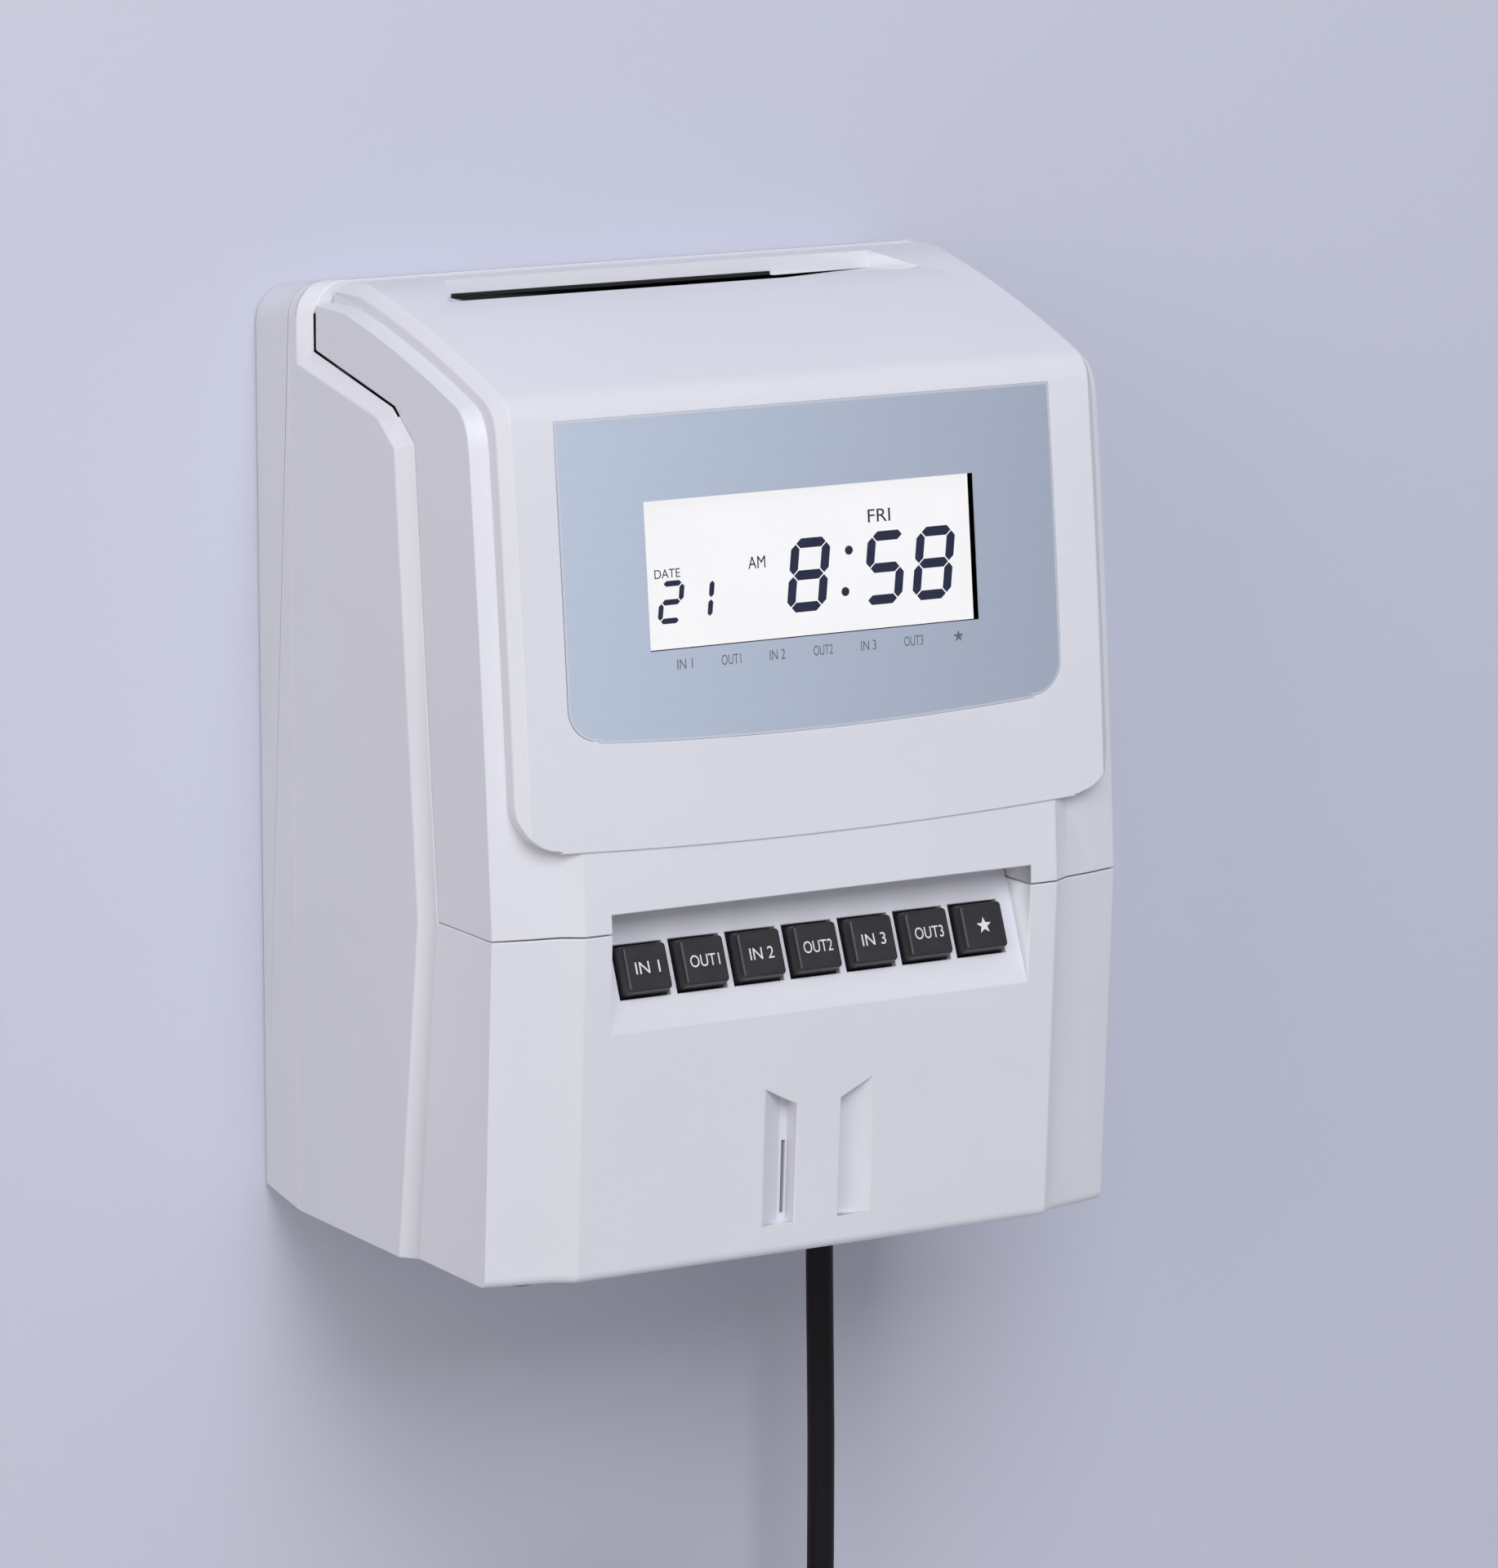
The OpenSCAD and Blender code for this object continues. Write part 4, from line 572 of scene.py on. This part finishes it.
# Display: a liquid-crystal glass on a white light box, held in a dark tray on the chassis; the glass's glow
# is painted light.
# The numbers and words are the glass's own dark blue segments.
ink_t = 0.00003
glass_z = -0.004751
sight_shift = 0.0009
sight_drop = 0.0004
digit_w = 0.0108
digit_h = 0.0175
digit_lean = math.radians(8)
date_w = 0.0066
date_h = 0.0101
stroke = 0.132
segment_gap = 0.00022
segments = {"8": "abcdefg", "5": "acdfg", "2": "abdeg", "1": "bc"}
time_y = -0.0030
time_digits = (("8", 0.0001), ("5", 0.0213), ("8", 0.0350))
date_y = -0.0064
date_digits = (("2", -0.0377), ("1", -0.0295))
dot_r = 0.0011
dot_steps = 16
dots = ((0.0115, 0.0019), (0.0100, -0.0079))
display_words = (
    ("FRI", 0.0203, 0.0096, 0.0062, 0.0031), ("AM", -0.0140, 0.0011, 0.0047, 0.0029),
    ("DATE", -0.0384, 0.0004, 0.0069, 0.0021))
# Base colour under the display's glow, dark so that no shade shows on the glass.
shadeless_glass_base = (0.10, 0.10, 0.10, 1)


def ink_shape(bm, points, place):
    """Flat printed shape with a little thickness."""
    shape = bm.faces.new([bm.verts.new(place @ Vector((x, y, 0))) for x, y in points])
    thicken(bm, [shape], place.to_3x3() @ Vector((0, 0, ink_t)))


def segment_digit(bm, digit, x, y, width, height, place):
    """Seven-segment digit that leans to the right."""
    t = stroke * height
    w, h = width - t, (height - t) / 2
    bars = {
        "a": (0, h, w, 0), "g": (0, 0, w, 0), "d": (0, -h, w, 0), "b": (w / 2, h / 2, h, 1),
        "c": (w / 2, -h / 2, h, 1), "e": (-w / 2, -h / 2, h, 1), "f": (-w / 2, h / 2, h, 1)}
    for name in segments[digit]:
        mid_x, mid_y, length, upright = bars[name]
        e = length / 2 - segment_gap
        outline = (
            (-e, 0), (t / 2 - e, -t / 2), (e - t / 2, -t / 2),
            (e, 0), (e - t / 2, t / 2), (t / 2 - e, t / 2))
        if upright:
            outline = [(-b, a) for a, b in outline]
        leaned = [
            (x + mid_x + a + (mid_y + b) * math.tan(digit_lean), y + mid_y + b) for a, b in outline]
        ink_shape(bm, leaned, place)


def words(bm, text, x, y, width, cap, place):
    """Printed word of a given width and height of its capitals."""
    curve = bpy.data.curves.new("words", "FONT")
    curve.body = text
    writing = bpy.data.objects.new("words", curve)
    mesh = bpy.data.meshes.new_from_object(writing)
    bpy.data.objects.remove(writing)
    low = Vector([min(v.co[i] for v in mesh.vertices) for i in range(2)])
    high = Vector([max(v.co[i] for v in mesh.vertices) for i in range(2)])
    mid = (low + high) / 2
    stretch = Matrix.Diagonal((width / (high - low).x, cap / (high - low).y, 1, 1))
    mesh.transform(
        place @ Matrix.Translation((x, y, 0)) @ stretch @ Matrix.Translation((-mid.x, -mid.y, 0)))
    flat = bmesh.new()
    flat.from_mesh(mesh)
    bmesh.ops.remove_doubles(flat, verts=flat.verts[:], dist=weld)
    thicken(flat, flat.faces[:], place.to_3x3() @ Vector((0, 0, ink_t)))
    bmesh.ops.recalc_face_normals(flat, faces=flat.faces[:])
    flat.to_mesh(mesh)
    flat.free()
    bm.from_mesh(mesh)
    bpy.data.meshes.remove(mesh)
    bpy.data.curves.remove(curve)


def glow(name, tone, shade, strength):
    """Even white emitted light, a little weaker in patches, over a base colour so dark that no shade shows
    on it.
    """
    material = grained(name, tone, shade, 0.02, 0.0004, 0.0000002, 0.3, 0.03, Emission_Strength=strength)
    links = material.node_tree.links
    shader = material.node_tree.nodes["Principled BSDF"]
    ramp = shader.inputs["Base Color"].links[0].from_socket
    links.new(ramp, shader.inputs["Emission Color"])
    links.remove(shader.inputs["Base Color"].links[0])
    shader.inputs["Base Color"].default_value = shadeless_glass_base
    return material


# The display glass's glow is painted light: it stands in for the lamplight that the lens keeps off it, and
# hides the shadow of the frame above it.
finish_node("lcd_panel", glow("lcd_glass_painted_light", (0.960, 0.950, 0.965), (0.940, 0.930, 0.950), 0.93))
finish_node("lcd_backlight", glow("light_box", (0.93, 0.93, 0.93), (0.90, 0.90, 0.90), 0.6))
tray_plastic = grained(
    "tray_plastic", (0.050, 0.050, 0.052), (0.036, 0.036, 0.038), 0.01, 0.0004, 0.00002, 0.5)
finish_node("display_frame", tray_plastic)
bm = bmesh.new()
glass_place = display_place @ Matrix.Translation((sight_shift, -sight_drop, glass_z))
for digit, digit_x in time_digits:
    segment_digit(bm, digit, digit_x, time_y, digit_w, digit_h, glass_place)
for digit, digit_x in date_digits:
    segment_digit(bm, digit, digit_x, date_y, date_w, date_h, glass_place)
for dot_x, dot_y in dots:
    round_angles = [2 * math.pi * i / dot_steps for i in range(dot_steps)]
    ink_shape(
        bm, [(dot_x + dot_r * math.cos(a), dot_y + dot_r * math.sin(a)) for a in round_angles], glass_place)
for word in display_words:
    words(bm, *word, glass_place)
bmesh.ops.recalc_face_normals(bm, faces=bm.faces[:])
segment_ink = grained(
    "segment_ink", (0.010, 0.016, 0.070), (0.007, 0.011, 0.052), 0.004, 0.001, 0.0000002, 0.5)
add_piece("display_segments", bm, segment_ink, "case")

# Column marks: small grey words printed on the label below the window, one for each key's column
# of the card, and a star for the last.
mark_z = -0.000125
mark_y = -0.0212
mark_first = -0.0363
mark_pitch = 0.0126
mark_cap = 0.0024
mark_star = 0.0015
star_points = 5
star_waist = 0.42
key_names = ("IN 1", "OUT1", "IN 2", "OUT2", "IN 3", "OUT3")
name_widths = (0.0042, 0.0053)


def star(bm, x, y, radius, place):
    """Five-pointed star."""
    ink_shape(bm, [
        (x + r * math.sin(i * math.pi / star_points), y + r * math.cos(i * math.pi / star_points))
        for i in range(2 * star_points) for r in [radius if i % 2 == 0 else radius * star_waist]], place)


bm = bmesh.new()
mark_place = display_place @ Matrix.Translation((0, 0, mark_z))
for i, name in enumerate(key_names):
    words(bm, name, mark_first + i * mark_pitch, mark_y, name_widths[i % 2], mark_cap, mark_place)
star(bm, mark_first + len(key_names) * mark_pitch, mark_y, mark_star, mark_place)
bmesh.ops.recalc_face_normals(bm, faces=bm.faces[:])
mark_ink = grained(
    "mark_ink", (0.150, 0.165, 0.205), (0.125, 0.140, 0.180), 0.003, 0.001, 0.0000002, 0.55)
add_piece("column_marks", bm, mark_ink, "cover")

# Function keys: seven black moulded caps in a row on the sloping floor of the pocket, each with
# a flange behind the floor, a stem for its switch and a white printed name.
key_count = len(key_names) + 1
key_w = 0.013
key_h = 0.0125
key_top = 0.0036
key_foot = -0.0028
key_pitch = 0.0156
key_corner = 0.0009
key_taper = 0.0007
key_edge = 0.0006
key_crease = math.radians(38)
flange_out = 0.0009
flange_t = 0.0012
stem_r = 0.0020
stem_len = 0.0012
legend_cap = 0.0029
legend_star = 0.0021
legend_widths = (0.0066, 0.0080)
pocket_d = 0.113061
pocket_h = 0.074
pocket_tilt = math.radians(21.996)
pocket_place = (
    Matrix.Translation(spot(0, pocket_d, pocket_h)) @ Matrix.Rotation(math.pi / 2 - pocket_tilt, 4, "X"))
key_plastic = grained(
    "key_plastic", (0.026, 0.023, 0.028), (0.019, 0.017, 0.021), 0.006, 0.00030, 0.000016, 0.40)
legend_ink = grained("legend_ink", (0.80, 0.80, 0.82), (0.72, 0.72, 0.75), 0.002, 0.0006, 0.0000004, 0.5)
for i in range(key_count):
    node = "key_%d" % (i + 1)
    place = pocket_place @ Matrix.Translation(((i - (key_count - 1) / 2) * key_pitch, 0, 0))
    bm = bmesh.new()
    bmesh.ops.create_cube(
        bm, size=1,
        matrix=Matrix.Translation((0, 0, (key_top + key_foot) / 2)) @ Matrix.Diagonal(
            (key_w, key_h, key_top - key_foot, 1)))
    for vert in bm.verts:
        if vert.co.z > 0:
            vert.co.x *= 1 - 2 * key_taper / key_w
            vert.co.y *= 1 - 2 * key_taper / key_h
    uprights = [e for e in bm.edges if abs(e.verts[0].co.z - e.verts[1].co.z) > key_top]
    bmesh.ops.bevel(
        bm, geom=uprights, offset=key_corner, offset_type="OFFSET", segments=4, profile=0.5,
        affect="EDGES", clamp_overlap=True, material=-1)
    brim = [e for e in bm.edges if all(v.co.z > key_top - weld for v in e.verts)]
    bmesh.ops.bevel(
        bm, geom=brim, offset=key_edge, offset_type="OFFSET", segments=3, profile=0.5,
        affect="EDGES", clamp_overlap=True, material=-1)
    bmesh.ops.create_cube(
        bm, size=1,
        matrix=Matrix.Translation((0, 0, key_foot - flange_t / 2)) @ Matrix.Diagonal(
            (key_w + 2 * flange_out, key_h + 2 * flange_out, flange_t, 1)))
    bmesh.ops.create_cone(
        bm, cap_ends=True, segments=24, radius1=stem_r, radius2=stem_r, depth=stem_len,
        matrix=Matrix.Translation((0, 0, key_foot - flange_t - stem_len / 2)))
    bmesh.ops.transform(bm, matrix=place, verts=bm.verts[:])
    for face in bm.faces:
        face.smooth = True
    for edge in bm.edges:
        edge.smooth = edge.calc_face_angle(0) < key_crease
    cap = add_piece("cap_%d" % (i + 1), bm, key_plastic, node)
    cap.modifiers.new("even_normals", "WEIGHTED_NORMAL").keep_sharp = True
    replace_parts(cap, node)
    bm = bmesh.new()
    top_place = place @ Matrix.Translation((0, 0, key_top - ink_t / 2))
    if i < len(key_names):
        words(bm, key_names[i], 0, 0, legend_widths[i % 2], legend_cap, top_place)
    else:
        star(bm, 0, 0, legend_star, top_place)
    bmesh.ops.recalc_face_normals(bm, faces=bm.faces[:])
    add_piece("legend_%d" % (i + 1), bm, legend_ink, node)

# Key board: a green lacquered circuit board behind the pocket's floor, with a small dark push
# switch soldered on under each key.
board_lacquer = grained(
    "board_lacquer", (0.018, 0.110, 0.050), (0.010, 0.070, 0.032), 0.004, 0.0008, 0.00002, 0.34,
    Coat_Weight=0.3)
finish_node("key_board", board_lacquer)
switch_plastic = grained(
    "switch_plastic", (0.10, 0.10, 0.105), (0.075, 0.075, 0.08), 0.003, 0.0004, 0.00002, 0.45)
finish_node("key_switches", switch_plastic)

# Chassis: a folded plate of zinc-coated sheet steel on the posts of the rear case, which carries
# the card guides, the rollers and the print unit.
zinc = grained(
    "zinc_sheet", (0.58, 0.59, 0.60), (0.46, 0.47, 0.49), 0.009, 0.0006, 0.00001, 0.38, 0.10, Metallic=0.9)
finish_node("chassis", zinc)

# Card guides and platen: two dark moulded plates with the card's passage between them, and the
# rubber bar that the print head strikes the card against.
guide_plastic = grained(
    "guide_plastic", (0.055, 0.055, 0.058), (0.040, 0.040, 0.043), 0.01, 0.0004, 0.00002, 0.48)
finish_node("card_guide_rear", guide_plastic)
finish_node("card_guide_front", guide_plastic)
roller_rubber = grained(
    "roller_rubber", (0.030, 0.030, 0.031), (0.020, 0.020, 0.021), 0.003, 0.0004, 0.00004, 0.72)
finish_node("platen", roller_rubber)

# Card feed: a steel shaft with two rubber tyres in acetal bushes, its moulded gear, the motor with
# a brass pinion, and the steel roller that pinches the card against the tyres.
ground_steel = grained(
    "ground_steel", (0.60, 0.60, 0.61), (0.52, 0.52, 0.54), 0.004, 0.0003, 0.00001, 0.26, Metallic=1.0)
finish_node("feed_shaft", ground_steel)
finish_node("feed_tyres", roller_rubber)
acetal = grained("acetal", (0.76, 0.72, 0.62), (0.70, 0.66, 0.56), 0.006, 0.0005, 0.00001, 0.36)
finish_node("feed_bushes", acetal)
finish_node("feed_gear", acetal)
brass = grained(
    "brass", (0.70, 0.52, 0.22), (0.60, 0.44, 0.18), 0.003, 0.0003, 0.00001, 0.28, Metallic=1.0)
finish_node("motor_pinion", brass)
motor_steel = grained(
    "motor_steel", (0.50, 0.50, 0.51), (0.40, 0.40, 0.42), 0.006, 0.0004, 0.00001, 0.3, Metallic=1.0)
finish_node("feed_motor", motor_steel)
finish_node("pinch_roller", ground_steel)

# Print unit: a carriage that a two-start lead screw drives along a ground rod, with a finned wire
# print head. The screw is turned by its own small motor beside the left cheek.
screw_r = 0.0025
core_r = 0.0020
screw_lead = 0.008
screw_starts = 2
thread_from = -0.0605
thread_to = 0.0325
thread_half = 0.0007
thread_root = core_r * 0.95
thread_crest = screw_r * 0.995
round_steps = 24
finish_node("guide_rod", ground_steel)
finish_node("carriage_motor", motor_steel)
carriage_plastic = grained(
    "carriage_plastic", (0.065, 0.064, 0.066), (0.048, 0.047, 0.050), 0.008, 0.0004, 0.00002, 0.46)
finish_node("print_carriage", carriage_plastic)
head_black = grained(
    "head_black", (0.022, 0.022, 0.024), (0.014, 0.014, 0.016), 0.005, 0.0005, 0.00003, 0.5)
finish_node("print_head", head_black)
screw_low, screw_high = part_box("lead_screw")
screw_axis = (screw_low + screw_high) / 2
bm = bmesh.new()
turned = [
    bm.verts.new((x, screw_axis.y, screw_axis.z + r)) for x, r in (
        (screw_low.x, 0), (screw_low.x, screw_r), (thread_from, screw_r), (thread_from, core_r),
        (thread_to, core_r), (thread_to, screw_r), (screw_high.x, screw_r), (screw_high.x, 0))]
shafting = [bm.edges.new(pair) for pair in zip(turned, turned[1:])]
bmesh.ops.spin(
    bm, geom=turned + shafting, cent=screw_axis, axis=(1, 0, 0), angle=2 * math.pi, steps=round_steps,
    use_merge=True)
thread_steps = round((thread_to - thread_from) / screw_lead * round_steps)
for start in range(screw_starts):
    turn = Matrix.Rotation(2 * math.pi * start / screw_starts, 3, "X")
    ridge = [
        bm.verts.new(screw_axis + turn @ Vector((thread_from - screw_axis.x + x, 0, r))) for x, r in (
            (-thread_half, thread_root), (-thread_half / 2, thread_crest),
            (thread_half / 2, thread_crest), (thread_half, thread_root))]
    lines = [bm.edges.new((ridge[k - 1], ridge[k])) for k in range(len(ridge))]
    bmesh.ops.spin(
        bm, geom=ridge + lines, cent=screw_axis, axis=(1, 0, 0), dvec=(screw_lead / round_steps, 0, 0),
        angle=2 * math.pi * thread_steps / round_steps, steps=thread_steps, use_merge=False)
bmesh.ops.remove_doubles(bm, verts=bm.verts[:], dist=weld)
bmesh.ops.recalc_face_normals(bm, faces=bm.faces[:])
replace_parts(add_piece("threaded_screw", bm, ground_steel, "lead_screw"), "lead_screw")

# Ribbon: a black cassette clipped between the cheeks in front of the print unit, with a blue knob
# to draw the ribbon tight by hand.
cassette_black = grained(
    "cassette_black", (0.024, 0.024, 0.025), (0.016, 0.016, 0.017), 0.01, 0.0004, 0.00002, 0.4)
finish_node("ribbon_cassette", cassette_black)
knob_blue = grained("knob_blue", (0.045, 0.15, 0.36), (0.034, 0.12, 0.30), 0.005, 0.0004, 0.00002, 0.4)
finish_node("ribbon_knob", knob_blue)

# Main board and transformer: the control board on posts of the rear case, with its chips and
# capacitors in black, and the mains transformer of stacked varnished plates round a taped winding.
board_front = 0.00965
core_near = 0.0499
core_far = 0.0661
board_weave = 0.0008
lamination_t = 0.0005
stripe_dark = 0.6
board_green = (0.018, 0.105, 0.048)
chip_black = (0.020, 0.020, 0.022)
core_steel = (0.30, 0.30, 0.31)
winding_tape = (0.62, 0.52, 0.20)


def by_depth(name, low, high, inside, outside, stripe, roughness):
    """One tone between two depths off the wall, with fine stripes across, and another outside them."""
    material = grained(name, inside, outside, 0.004, 0.0006, 0.00001, roughness)
    nodes, links = material.node_tree.nodes, material.node_tree.links
    parts = nodes.new("ShaderNodeSeparateXYZ")
    links.new(nodes["Texture Coordinate"].outputs["Object"], parts.inputs[0])
    off = nodes.new("ShaderNodeMath")
    off.operation = "COMPARE"
    off.inputs[1].default_value = -(low + high) / 2
    off.inputs[2].default_value = (high - low) / 2
    links.new(parts.outputs["Y"], off.inputs[0])
    bands = nodes.new("ShaderNodeMath")
    bands.operation = "PINGPONG"
    bands.inputs[1].default_value = stripe
    links.new(parts.outputs["Y"], bands.inputs[0])
    shade = nodes.new("ShaderNodeMapRange")
    shade.inputs["From Max"].default_value = stripe
    shade.inputs["To Min"].default_value = stripe_dark
    links.new(bands.outputs[0], shade.inputs["Value"])
    striped = nodes.new("ShaderNodeVectorMath")
    striped.operation = "SCALE"
    striped.inputs[0].default_value = inside
    links.new(shade.outputs["Result"], striped.inputs["Scale"])
    choose = nodes.new("ShaderNodeMix")
    choose.data_type = "RGBA"
    choose.inputs["A"].default_value = (*outside, 1)
    links.new(off.outputs[0], choose.inputs["Factor"])
    links.new(striped.outputs["Vector"], choose.inputs["B"])
    links.new(choose.outputs["Result"], nodes["Principled BSDF"].inputs["Base Color"])
    return material


finish_node(
    "main_board", by_depth("main_board", 0.0, board_front, board_green, chip_black, board_weave, 0.4))
finish_node(
    "transformer",
    by_depth("transformer", core_near, core_far, core_steel, winding_tape, lamination_t, 0.42))
